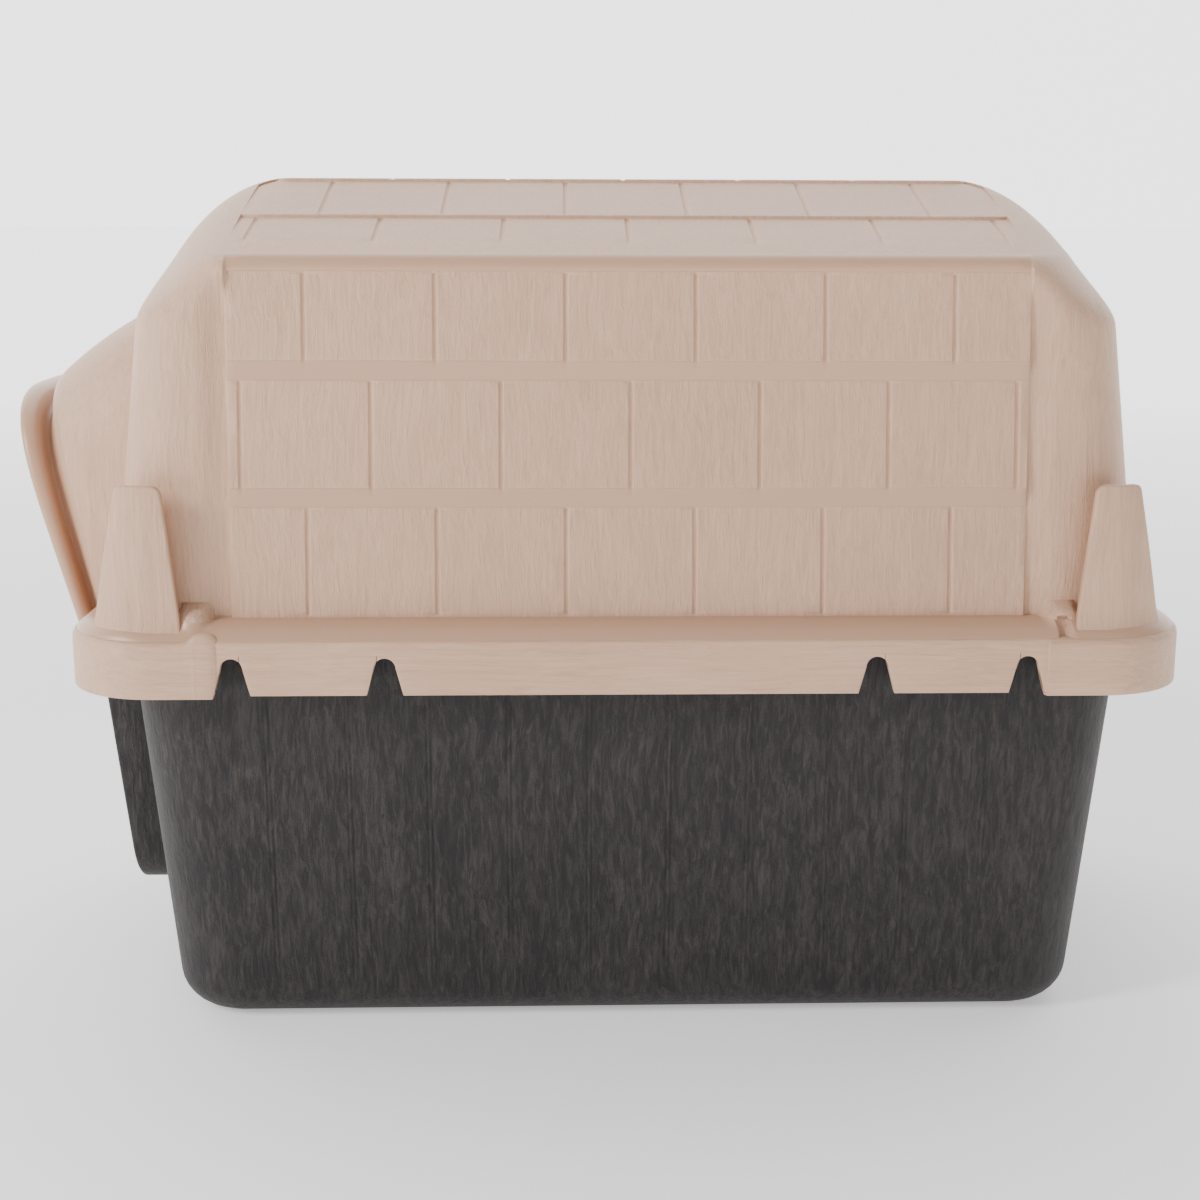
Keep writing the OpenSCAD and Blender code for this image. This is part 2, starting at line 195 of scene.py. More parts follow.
BEIGE = (0.605, 0.376, 0.250)
BEIGE_D = (0.507, 0.305, 0.195)
BEIGE_L = (0.712, 0.460, 0.320)
CHAR = (0.0150, 0.0130, 0.0130)
CHAR_D = (0.0060, 0.0052, 0.0054)
CHAR_L = (0.060, 0.0530, 0.0500)
mat_up = plastic("beige_grain_up", "up", BEIGE, BEIGE_D, BEIGE_L, 0.43, 0.9)
mat_along = plastic("beige_grain_along", "along", BEIGE, BEIGE_D, BEIGE_L, 0.46, 0.7)
mat_smooth = plastic("beige_smooth", "none", (0.600, 0.367, 0.244), (0.556, 0.336, 0.221),
                     (0.644, 0.400, 0.269), 0.42, 0.3)
mat_inner = plastic("beige_inner", "none", (0.507, 0.341, 0.242), (0.468, 0.310, 0.217),
                    (0.546, 0.372, 0.266), 0.6, 0.35)
mat_char = plastic("charcoal_grain", "up", CHAR, CHAR_D, CHAR_L, 0.52, 1.0, spec=0.32,
                   streak=(330.0, 330.0, 60.0), tilt=0.22, dist=0.0014, cloud=0.18)
mat_char_smooth = plastic("charcoal_smooth", "none", (0.017, 0.0155, 0.0160),
                          (0.012, 0.011, 0.0115), (0.024, 0.022, 0.022), 0.5, 0.35,
                          spec=0.3)


# ---- mesh helpers
def build(name, verts, faces, mats, face_mats=None, body="roof",
          sharp=34.0, weld=1e-5, replaces=()):
    """Makes one mesh object from house-centred millimetre points."""
    v = np.asarray(verts, float).reshape(-1, 3) * MM
    v[:, 0] += HOUSE_X * MM
    me = bpy.data.meshes.new(name)
    me.from_pydata(v.tolist(), [], [list(f) for f in faces])
    for m in mats:
        me.materials.append(m)
    if face_mats is not None:
        me.polygons.foreach_set("material_index", np.asarray(face_mats, np.int32))
    bm = bmesh.new()
    bm.from_mesh(me)
    bmesh.ops.remove_doubles(bm, verts=bm.verts, dist=weld)
    bmesh.ops.dissolve_degenerate(bm, edges=bm.edges, dist=1e-6)
    lim = radians(sharp)
    for f in bm.faces:
        f.smooth = True
    for e in bm.edges:
        e.smooth = len(e.link_faces) != 2 or e.calc_face_angle(0.0) < lim
    bm.to_mesh(me)
    bm.free()
    ob = bpy.data.objects.new(name, me)
    bpy.context.scene.collection.objects.link(ob)
    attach(ob, body)
    if replaces:
        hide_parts(*replaces)
    return ob


def sheet(rows, **kw):
    """Points and quads of a surface given as rows of points."""
    P = np.array(rows)
    return P.reshape(-1, 3), grid_faces(*P.shape[:2], **kw)


def face_out(ob):
    """Turns a closed mesh's faces outwards."""
    bm = bmesh.new()
    bm.from_mesh(ob.data)
    bmesh.ops.recalc_face_normals(bm, faces=bm.faces)
    bm.to_mesh(ob.data)
    bm.free()


def grid_faces(rows, cols, closed=False, flip=False, start=0):
    """Quads of a grid of points, row by row; closed joins the last column to the first."""
    fs = []
    n = cols if closed else cols - 1
    for j in range(rows - 1):
        for i in range(n):
            a = start + j * cols + i
            b = start + j * cols + (i + 1) % cols
            q = (a, b, b + cols, a + cols)
            fs.append(q[::-1] if flip else q)
    return fs


# ---- house body surface
def body_dims(z, b, off=0.0):
    """End reach and corner semi-axes of the body at level z with half width b."""
    h = RIDGE - off
    d = max(0.0, h - z)
    r = GABLE_R - off
    reach = sqrt(max(0.0, 2 * r * d - d * d)) if d < r else r
    a0 = A_SHOULDER - off - (z - Z_SHOULDER) * END_LEAN
    a = a0 - r + reach
    zb, zk = Z_KNUCKLE - 44, Z_KNUCKLE
    w = float(smooth((z - zb) / (zk + 6 - zb)))
    c0 = BODY_R - off
    cx = max(0.5, c0 * (1 - w) + reach * w)
    cy = max(0.3, min(b - 0.2, c0 * (1 - w) + b * w))
    return a, cx, cy


def side_y(x, a, b, cx, cy):
    """Half width of the contour at distance x along the house."""
    x = np.abs(x)
    t = np.clip((x - (a - cx)) / cx, 0, 1)
    return (b - cy) + cy * np.sqrt(1 - t * t)


def tail(a, b, cx, cy, x0, n, split=76.0, fixed=None):
    """Contour from (x0, y) round the corner to (a, 0): n spans to y = split, then fixed ones."""
    ys = min(split, 0.4 * b) if fixed is None else split
    t0 = asin(min(1.0, max(0.0, (x0 - (a - cx)) / cx)))
    th = np.linspace(t0, pi / 2, 240)
    px = (a - cx) + cx * np.sin(th)
    py = (b - cy) + cy * np.cos(th)
    if x0 < a - cx:
        px = np.concatenate([[x0], px])
        py = np.concatenate([[b], py])
    px = np.append(px, a)
    py = np.append(py, 0.0)
    s = np.concatenate([[0], np.cumsum(np.hypot(np.diff(px), np.diff(py)))])
    s1 = np.interp(-ys, -py, s)
    f = np.linspace(1, 0, END_N + 1)[1:] * ys if fixed is None else np.array(fixed, float)
    u = np.concatenate([np.linspace(0, s1, n + 1), np.interp(-f, -py, s)])
    return np.interp(u, s, px), np.interp(u, s, py)


def at(x, y, z):
    """Points from x and y, with one height for all or one for each."""
    return np.stack([x, y, np.broadcast_to(z, np.shape(x))], -1)


def ring_of(x, y, tx, ty):
    """Closed contour from one side (x, y) and one end (tx, ty), mirrored in both axes."""
    return np.concatenate([
        np.stack([x, -y], -1), np.stack([tx, -ty], -1), np.stack([tx[:-1], ty[:-1]], -1)[::-1],
        np.stack([x, y], -1)[::-1], np.stack([-tx, ty], -1),
        np.stack([-tx[:-1], -ty[:-1]], -1)[::-1]])


END_N = 20
VENT_Y, VENT_LO, VENT_HI = 76.0, Z_KNUCKLE - 34 - 3 * 22 - 16, Z_KNUCKLE - 34 + 13
EDGE = 268.0
TAIL_N = 84
groove_pos = [k * PITCH / 2 for k in range(-6, 7)]
xs = set()
for g in groove_pos:
    for o in (-2.1, -1.45, -0.75, 0.0, 0.75, 1.45, 2.1):
        xs.add(round(g + o, 3))
    xs.add(round(g + PITCH / 4, 3))
    for f in (-0.17, 0.17):
        xs.add(round(g + PITCH * f, 3))
xs = {x for x in xs if abs(x) < PANEL - 2.6}
for s in (-1, 1):
    xs |= {s * PANEL - s * 2.0, s * PANEL - s * 1.2, s * PANEL - s * 0.5, s * PANEL, s * EDGE}
XS = np.array(sorted(xs))


def rows_on_wall():
    """Heights of the rows' lips and tops up the long wall, from the shoulder to the knuckle."""
    tops = [Z_SHOULDER + 72.5, Z_SHOULDER + 72.5 + 83.0, Z_KNUCKLE - 9.0]
    lips = [Z_SHOULDER, tops[0] + 13.0, tops[1] + 13.0]
    return lips, tops


LIPS, TOPS = rows_on_wall()
TOP_DEPTH, LIP_DEPTH = 3.2, 0.5
STRIP_DEPTH = 0.2


def face_depth(z):
    """Depth of the stepped face below the post level at height z."""
    pts = []
    for i in range(3):
        if i > 0:
            pts += [(LIPS[i] - 0.5, LIP_DEPTH + 0.75), (LIPS[i], LIP_DEPTH + 0.15),
                    (LIPS[i] + 0.7, LIP_DEPTH)]
        else:
            pts += [(LIPS[0] - 20, LIP_DEPTH), (LIPS[0], LIP_DEPTH)]
        pts += [(TOPS[i] - 0.4, TOP_DEPTH), (TOPS[i] + 0.3, TOP_DEPTH + 0.1)]
    pts += [(TOPS[2] + 1.0, TOP_DEPTH * 0.75), (Z_KNUCKLE + 6, STRIP_DEPTH),
            (RIDGE + 10, STRIP_DEPTH)]
    p = np.array(pts)
    return np.interp(z, p[:, 0], p[:, 1])


def groove_depth(z, k):
    """Depth of the plank groove set k (0 half offsets, 1 whole) at height z, else -1."""
    for i in range(3):
        if i % 2 != k:
            continue
        lo, hi = LIPS[i], TOPS[i]
        start = lo - 11.0 if i else lo + 1.0
        if start <= z <= hi:
            plane = LIP_DEPTH + (TOP_DEPTH - LIP_DEPTH) * (z - lo) / (hi - lo)
            fade = min(1.0, (hi - z) / 1.5 + 0.02, (z - start) / 1.5 + 0.02)
            return plane + 1.35 * fade
    return -1.0


GROOVE_ROWS = {0: [k * PITCH + PITCH / 2 for k in range(-3, 3)],
               1: [k * PITCH for k in range(-3, 4)]}


def wall_disp(x, z):
    """Inward displacement of the long wall at (x, z)."""
    ax = np.abs(x)
    d = np.full(len(x), face_depth(z))
    for k in (0, 1):
        gd = groove_depth(z, k)
        if gd < 0:
            continue
        for g in GROOVE_ROWS[k]:
            t = np.abs(x - g)
            w = smooth((2.1 - t) / 1.5)
            d = np.maximum(d, d + (gd - d) * w)
    fade = float(smooth((Z_KNUCKLE - 4 - z) / 30.0))
    valley = 3.9 * fade
    inside = smooth((PANEL - ax) / 1.9)
    post = valley * (1 - smooth((ax - PANEL) / 19.0))
    return d * inside + post * (1 - inside)


def slope_disp(x, y_abs):
    """Inward displacement of the upper slope at (x, |y|)."""
    lines = [(B_KNUCKLE - 6, 0.2), (152.0, 0.0), (104.8, 1.9), (104.0, 0.2), (103.2, 0.0),
             (17.5, 1.7), (16.8, 0.4), (16.0, 0.0), (0.0, 0.0)]
    p = np.array(lines[::-1])
    d = np.full(len(x), np.interp(y_abs, p[:, 0], p[:, 1]))
    k, lo, hi = (None, 0, 0)
    if 104.8 <= y_abs <= 168.0:
        k, lo, hi = 1, 168.0, 104.8
    elif 17.5 <= y_abs <= 103.2:
        k, lo, hi = 0, 103.2, 17.5
    elif y_abs < 16.8:
        k, lo, hi = 1, 16.8, -5.0
    if k is not None:
        run_in = 14.0 if k == 1 and lo > 100 else 2.0
        fade = min(1.0, abs(lo - y_abs) / run_in, abs(y_abs - hi) / 1.5)
        for g in GROOVE_ROWS[k]:
            if abs(g) > 262 or (lo < 20 and abs(g) > 172):
                continue
            d = d + 1.3 * fade * smooth((2.3 - np.abs(x - g)) / 1.6)
    return d


def levels():
    """(b, z, zone) rows from the skirt's crease to the ridge."""
    out = []
    for t in (0.0, 0.04, 0.09, 0.16, 0.25, 0.36, 0.48, 0.6, 0.7, 0.79, 0.87, 0.93, 0.97):
        u = 1 - sqrt(1 - t * t)
        f = 0.3 * t + 0.7 * u
        out.append(("shoulder", HALF_W - CREASE - (25 - CREASE) * f,
                    Z0 + SKIRT_H - 1.4 + 10.9 * t, f, t))
    zs = {Z_SHOULDER + d for d in (0.0, 0.6, 1.4, 2.5, 4.0)} | {VENT_LO, VENT_HI}
    for i in range(3):
        lo, hi = LIPS[i], TOPS[i]
        if i:
            zs |= {lo + o for o in (-12.0, -11.0, -9.5, -6, -2.5, -0.5, 0, 0.7, 1.6)}
        zs |= {hi - 1.5, hi - 0.4, hi + 0.3, hi + 1.2}
        n = int((hi - lo) / 4.4)
        zs |= {lo + 2 + (hi - lo - 4) * j / n for j in range(n + 1)}
    tz = 12 * tan(radians(35.0))
    top = Z_KNUCKLE - tz * cos(radians(5))
    for z in sorted(z for z in zs if z < top - 0.2):
        out.append(("wall", B_SHOULDER - (z - Z_SHOULDER) * WALL_SLOPE, z, 1, 1))
    # rounded knuckle between wall and roof
    wa, ra = atan(WALL_SLOPE), atan(ROOF_SLOPE)
    turn = pi / 2 - wa - ra
    rad = 12.0
    tl = rad * tan(turn / 2)
    p0 = (B_KNUCKLE + tl * sin(wa), Z_KNUCKLE - tl * cos(wa))
    c = (p0[0] - rad * cos(wa), p0[1] - rad * sin(wa))
    for j in range(11):
        a = wa + turn * j / 10
        out.append(("knuckle", c[0] + rad * cos(a), c[1] + rad * sin(a), 1, 1))
    b_end = out[-1][1]
    ys = {104.8, 104.0, 103.2, 102.0, 106.5, 17.5, 16.8, 16.0, 15.0, 19.0, 168.0, 166.0, 160.0,
          154.0, 152.0}
    ys |= set(np.linspace(b_end - 3, 108, 15)) | set(np.linspace(100, 21, 16))
    for y in sorted((y for y in ys if y < b_end - 1), reverse=True):
        z = Z_KNUCKLE + (B_KNUCKLE - y) * ROOF_SLOPE
        if z < RIDGE - 0.25:
            out.append(("roof", y, z, 1, 1))
    for y in (13.0, 9.0, 5.0, 2.0, 0.25):
        out.append(("ridge", y, RIDGE - 0.05 - 0.5 * (y / RIDGE_HALF) ** 2, 1, 1))
    return out


def foot_dome(x, y, z, end=0.0):
    """Small swelling where the straight end of each ear runs into the shoulder."""
    q = 1 - ((np.abs(x) - 288.0) / 16.0) ** 2 - ((z - (Z0 + 35)) / 22.5) ** 2
    top = HALF_W - 26 + 19.0 * np.sqrt(np.clip(q, 0, 1))
    soft = 3.0
    h = np.clip(0.5 + 0.5 * (top - y) / soft, 0, 1)
    blend = y * (1 - h) + top * h + soft * h * (1 - h)
    dome = np.where(q > 0, np.minimum(blend, np.maximum(y, HALF_W - CREASE - 0.1)), y)
    # the small moulded slot at the rear end
    if end > 0:
        w = smooth((5.0 - np.abs(x - 287)) / 2.2) * smooth((Z0 + 51 - z) / 3.0)
        dome = dome - 6.0 * w
    return dome


def roof_outer():
    lv = levels()
    pts = []
    for zone, b, z, f, t in lv:
        if zone == "shoulder":
            a = HALF_L - CREASE - (29 - CREASE) * f
            c = SKIRT_R - CREASE + (BODY_R - SKIRT_R + CREASE) * t
            cx = cy = c
        else:
            a, cx, cy = body_dims(z, b)
        ef = min(EDGE, (a - cx) + 0.8 * cx)
        if zone == "ridge":
            ef = min(ef, a - 0.6 * cx)
        x = XS.copy()
        big = np.abs(x) > 240
        x[big] = np.sign(x[big]) * (240 + (np.abs(x[big]) - 240) * (ef - 240) / (EDGE - 240))
        y = side_y(x, a, b, cx, cy)
        if zone == "wall" or zone == "knuckle":
            y = y - wall_disp(x, z)
            zz = np.full(len(x), z)
        elif zone in ("roof", "ridge"):
            d = slope_disp(x, b)
            y = y - d * sin(atan(ROOF_SLOPE)) * (1 if zone == "roof" else 0)
            zz = z - d * cos(atan(ROOF_SLOPE))
        else:
            zz = np.full(len(x), z)
        tx, ty = tail(a, b, cx, cy, ef, TAIL_N)
        # the post's swelling continues a little past the edge column
        if zone in ("wall", "knuckle"):
            dd = wall_disp(tx, z) * (np.arange(len(tx)) < 14)
            dy = np.where(ty > b - 12, dd, 0)
        else:
            dy = np.zeros(len(tx))
        ty2 = ty - dy
        tx, ty, ty2 = tx[1:], ty[1:], ty2[1:]
        if z < Z0 + 70:
            y = foot_dome(x, y, zz)
            ty3 = foot_dome(tx, ty2, np.full(len(tx), z), 1.0)
            ty2 = foot_dome(tx, ty2, np.full(len(tx), z))
        else:
            ty3 = ty2
        pts.append(np.concatenate([
            at(x, -y, zz), at(tx, -ty3, z), at(tx[:-1], ty3[:-1], z)[::-1],
            at(x, y, zz)[::-1], at(-tx, ty2, z), at(-tx[:-1], -ty2[:-1], z)[::-1]]))
    C, faces = sheet(pts, closed=True)
    cols = len(pts[0])
    keep, fm = [], []
    for n, q in enumerate(faces):
        j = n // cols
        c = C[list(q)].mean(0)
        if c[0] < -250 and inside_arch(c, 5.0):
            continue
        if c[0] > 250 and in_vent_panel(c):
            continue
        zone, b, z = lv[j][:3]
        z2 = lv[j + 1][2]
        zm = (z + z2) / 2
        ax = abs(c[0])
        smooth_band = zone == "shoulder"
        if zone in ("wall", "knuckle") and ax < PANEL - 0.6 and abs(c[1]) > b - 12:
            if any(LIPS[i] - 13.2 < zm < LIPS[i] for i in (1, 2)) or zm > TOPS[2]:
                smooth_band = True
        if zone == "knuckle" and ax < PANEL:
            smooth_band = True
        keep.append(q)
        fm.append(1 if smooth_band else 0)
    return C, keep, fm


# ---- door arch
def arch_curve(half, crown, foot=-CORNER_STEP, n=40, feet=14, power=3.6):
    rise = min(half, crown - 10)
    t = np.linspace(0, pi, 2 * n + 1)
    c, s = np.cos(t), np.sin(t)
    y = half * np.sign(c) * np.abs(c) ** (2 / power)
    z = crown - rise + rise * np.abs(s) ** (2 / power)
    fz = np.linspace(foot, crown - rise, feet + 1)[:-1]
    y = np.concatenate([np.full(feet, half), y, np.full(feet, -half)])
    z = np.concatenate([fz, z, fz[::-1]])
    return y, z


def hood_dims(t):
    """Half width and crown of the hood's surface from the rim (0) to the wall (1)."""
    g = 1 - (1 - t) ** 1.3
    return RIM_HALF - 9 + (HOOD_FLARE - 1) * g, RIM_TOP - 12 + (HOOD_RISE + 3) * g


def inside_arch(c, off):
    """Whether a point of the door end lies inside the hood's inner surface."""
    x, y, z = c
    s = z - Z0
    if s < -5 or s > 240:
        return False
    t = min(1.0, max(0.0, (x + RIM_FRONT - 2 + HOOD_LEAN * s) / (HOOD_DEPTH + HOOD_LEAN * s)))
    half, crown = hood_dims(t)
    half, crown = half - off + 2, crown - off + 2
    rise = min(half, crown - 10)
    if s <= crown - rise:
        return abs(y) < half
    return (abs(y) / half) ** POWER + ((s - crown + rise) / rise) ** POWER < 1



def in_vent_panel(c):
    return abs(c[1]) < VENT_Y and VENT_LO < c[2] < VENT_HI


C, F, FM = roof_outer()
build("roof_skin", C, F, [mat_up, mat_smooth], FM, replaces=("roof_shell",), sharp=38)


# ---- upper shell, inside skin
def inner_skin():
    zs = [Z_LEDGE, Z_LEDGE + 0.8, Z_LEDGE + 3, Z0 + 44]
    zs += list(np.arange(Z0 + 54, VENT_LO - 3, 12.0)) + [VENT_LO]
    zs += list(np.arange(VENT_LO + 8, VENT_HI - 3, 8.0)) + [VENT_HI]
    off_y = (cos(atan(ROOF_SLOPE)) - sin(atan(WALL_SLOPE))) / \
        cos(atan(WALL_SLOPE) + atan(ROOF_SLOPE))
    off_z = (cos(atan(WALL_SLOPE)) - sin(atan(ROOF_SLOPE))) / \
        cos(atan(WALL_SLOPE) + atan(ROOF_SLOPE))
    zk, bk = Z_KNUCKLE - WALL * off_z, B_KNUCKLE - WALL * off_y
    h = RIDGE - WALL / cos(atan(ROOF_SLOPE))
    zs += [520.0, zk] + [zk + (h - zk) * sin(radians(90 * i / 12)) for i in range(1, 13)]
    xs_in = np.linspace(-250, 250, 41)
    rows = []
    for z in zs:
        b = bk + (zk - z) * WALL_SLOPE if z <= zk else max(12.5, bk - (z - zk) / ROOF_SLOPE)
        a, cx, cy = body_dims(z, b, WALL)
        ef = min(250.0, (a - cx) + 0.8 * cx)
        x = xs_in * ef / 250.0
        y = side_y(x, a, b, cx, cy)
        tx, ty = tail(a, b, cx, cy, ef, 26, VENT_Y - 0.0)
        tx, ty = tx[1:], ty[1:]
        rows.append(ring_of(x, y, tx, ty))
    # ledge that sits on the base: from the skirt's inner face to the wall
    ledge = []
    for k in (0.0, 0.5, 1.0):
        off = CORNER_STEP + WALL
        ring = rows[0].copy()
        sk = skirt_match(ring, off)
        ledge.append(sk * (1 - k) + ring * k)
    P = [np.column_stack([r, np.full(len(r), Z_LEDGE)]) for r in ledge[:-1]]
    P += [np.column_stack([r, np.full(len(r), z)]) for r, z in zip(rows, zs)]
    P = np.array(P)
    k, cols = P.shape[:2]
    C = P.reshape(-1, 3)
    fs = []
    for q in grid_faces(k, cols, closed=True, flip=True):
        c = C[list(q)].mean(0)
        if c[0] < -250 and c[2] > Z_LEDGE + 0.2 and inside_arch(c, 6.5):
            continue
        if c[0] < -300 and c[2] < Z_LEDGE + 0.2 and abs(c[1]) < 109:
            continue
        if c[0] > 250 and in_vent_panel(c):
            continue
        fs.append(q)
    # close the top
    top = [(k - 1) * cols + i for i in range(cols)]
    fs.append(top)
    return C, fs


def skirt_match(ring, off):
    """Projects a contour radially onto the skirt contour moved inwards by off."""
    a, b, c = HALF_L - off, HALF_W - off, SKIRT_R - off
    out = []
    for x, y in ring:
        sx, sy = copysign(1, x), copysign(1, y)
        x, y = abs(x), abs(y)
        if x > a - c and y > b - c:
            ang = atan2(y - (b - c), x - (a - c))
            x, y = (a - c) + c * cos(ang), (b - c) + c * sin(ang)
        elif y / max(x, 1e-6) > b / a and x < a - c:
            y = b
        elif x > a - c - 20 and b - c - 20 < y <= b - c:
            x = a
        elif x <= a - c:
            y = b
        else:
            x = a
        out.append((sx * x, sy * y))
    return np.array(out)


Ci, Fi = inner_skin()
build("roof_inside", Ci, Fi, [mat_inner], sharp=40)


# ---- rear vents
def extruded(outline, holes, place, depth):
    """Solid plate from a flat outline with holes; place maps (u, v, d) to millimetre points."""
    bm = bmesh.new()
    loops = []
    for loop in [outline] + holes:
        vs = [bm.verts.new((u, v, 0)) for u, v in loop]
        es = [bm.edges.new((vs[i], vs[(i + 1) % len(vs)])) for i in range(len(vs))]
        loops.append(es)
    bmesh.ops.triangle_fill(bm, use_beauty=True, use_dissolve=False,
                            edges=[e for loop in loops for e in loop])
    front = [f for f in bm.faces]
    ext = bmesh.ops.extrude_face_region(bm, geom=front)
    for g in ext["geom"]:
        if isinstance(g, bmesh.types.BMVert):
            g.co.z = 1.0
    bmesh.ops.recalc_face_normals(bm, faces=bm.faces)
    V = [place(v.co.x, v.co.y, v.co.z * depth) for v in bm.verts]
    bm.verts.index_update()
    F = [[v.index for v in f.verts] for f in bm.faces]
    bm.free()
    return V, F


def end_x(z):
    return A_SHOULDER - (z - Z_SHOULDER) * END_LEAN


def slot_loop(z, half, r=4.0, n=10):
    pts = []
    for s, a0 in ((1, -90), (-1, 90)):
        for i in range(n + 1):
            a = radians(a0 + 180 * i / n)
            pts.append((s * half + r * cos(a), z + r * sin(a)))
    return pts


vent_rows = [Z_KNUCKLE - 34 - 22 * i for i in range(4)]
V, Fv = extruded([(-VENT_Y, VENT_LO), (VENT_Y, VENT_LO), (VENT_Y, VENT_HI), (-VENT_Y, VENT_HI)],
                 [slot_loop(z, 60 - 6 * i) for i, z in enumerate(vent_rows)],
                 lambda u, v, d: (end_x(v) - d, u, v), WALL)
build("rear_vents", V, Fv, [mat_up], sharp=25)


# ---- door hood and its rolled lip
def hood_sweep():
    n_side = 44
    lip = [(3.2, -8.2), (1.4, -7.9), (0.3, -6.9), (0.0, -5.2), (0.0, -1.0), (0.0, 3.4), (0.2, 6.0),
           (0.9, 8.1), (2.2, 9.5), (3.9, 10.0), (5.7, 9.8), (7.2, 9.0), (8.2, 7.6), (8.7, 5.6),
           (8.9, 2.5), (9.0, -0.8), (9.4, -3.2), (10.4, -4.9), (12.0, -5.6), (13.8, -5.2),
           (15.2, -3.9), (16.1, -2.3), (16.9, -1.0), (18.2, -0.2), (20.0, 0.2)]
    rows = []
    inner_w = [1.0, 1.0, 0.86, 0.7, 0.5, 0.32, 0.18, 0.1]
    outer_w = [0.0, 0.05, 0.11, 0.18, 0.26, 0.35, 0.45, 0.56, 0.68, 0.82, 1.0]

    def arch_at(w, r):
        """One arch, w behind the rim's front and r outside the hood's surface."""
        t = min(1.0, max(0.0, (w - 2.0) / HOOD_DEPTH))
        half, crown = hood_dims(t)
        k = float(smooth((17.0 - w) / 9.0))
        half = half + (RIM_HALF - 10 - half) * k
        crown = crown + (RIM_TOP - 10 - crown) * k
        y, z = arch_curve(half + r, crown + r, n=n_side)
        x = -(RIM_FRONT - w) - HOOD_LEAN * (1 - t) * z
        return np.stack([x, y, Z0 + z], -1)

    ws = np.linspace(3.2, 74.0, 60)
    grid_in = np.array([arch_at(w, -6.6 - 0.6 * max(0, 1 - w / 20)) for w in ws])
    grid_out = np.array([arch_at(w, 0.2) for w in ws])

    def hit(grid, off):
        """For each arch point, the w at which the surface meets the end wall moved in by off."""
        res = []
        for k in range(grid.shape[1]):
            x, z = grid[:, k, 0], grid[:, k, 2]
            zc = np.clip(z, Z0 + 20, None)
            wall_x = -(A_SHOULDER - off - (zc - Z_SHOULDER) * END_LEAN)
            d = x - wall_x
            idx = np.where(d > 0)[0]
            if len(idx) == 0:
                res.append(ws[-1])
                continue
            i = max(1, idx[0])
            f = -d[i - 1] / (d[i] - d[i - 1])
            res.append(ws[i - 1] + f * (ws[i] - ws[i - 1]))
        return np.array(res)

    w_in, w_out = hit(grid_in, WALL + 0.35), hit(grid_out, 3.0)

    def point(w, r):
        """Arch row with a w for each point."""
        out = np.zeros((len(w_in), 3))
        uw = np.unique(np.round(w, 2))
        base = np.array([arch_at(v, r) for v in uw]) if len(uw) > 1 else None
        if base is None:
            return arch_at(float(w[0]), r)
        for k in range(3):
            for c in range(len(w)):
                out[c, k] = np.interp(w[c], uw, base[:, c, k])
        return out

    rows.append(point(w_in, 6.0))
    rows.append(point(w_in, 1.0))
    rows.append(point(w_in, -5.4))
    for f in inner_w[1:]:
        w = 3.2 + (w_in - 3.2) * f
        rows.append(point(w, -6.6 - 1.0 * (1 - f) ** 2))
    n_in = len(rows)
    for w, r in lip:
        rows.append(arch_at(w, r))
    n_lip = len(rows)
    for f in outer_w[1:]:
        w = 20.0 + (w_out - 20.0) * f
        rows.append(point(w, 0.2))
    P = np.array(rows)
    k, cols = P.shape[:2]
    fs = grid_faces(k, cols)
    fm = []
    for j in range(k - 1):
        m = 2 if j < n_in - 1 else (1 if j < n_lip - 1 else 0)
        fm += [m] * (cols - 1)
    # close the feet of the lip
    for e in (0, cols - 1):
        loop = [j * cols + e for j in range(n_in - 1, n_lip)]
        fs.append(loop if e == 0 else loop[::-1])
        fm.append(1)
    return P.reshape(-1, 3), fs, fm


Vh, Fh, FMh = hood_sweep()
build("door_hood", Vh, Fh, [mat_up, mat_smooth, mat_inner], FMh, sharp=50)


# ---- skirt
def notch_edge(s):
    """Half width of a notch at height s."""
    if s <= 18.0:
        return 12.0 - (12.0 - 7.2) * s / 18.0
    q = min(1.0, (s - 18.0) / 7.0)
    return 7.2 * sqrt(max(0.0, 1 - q * q))


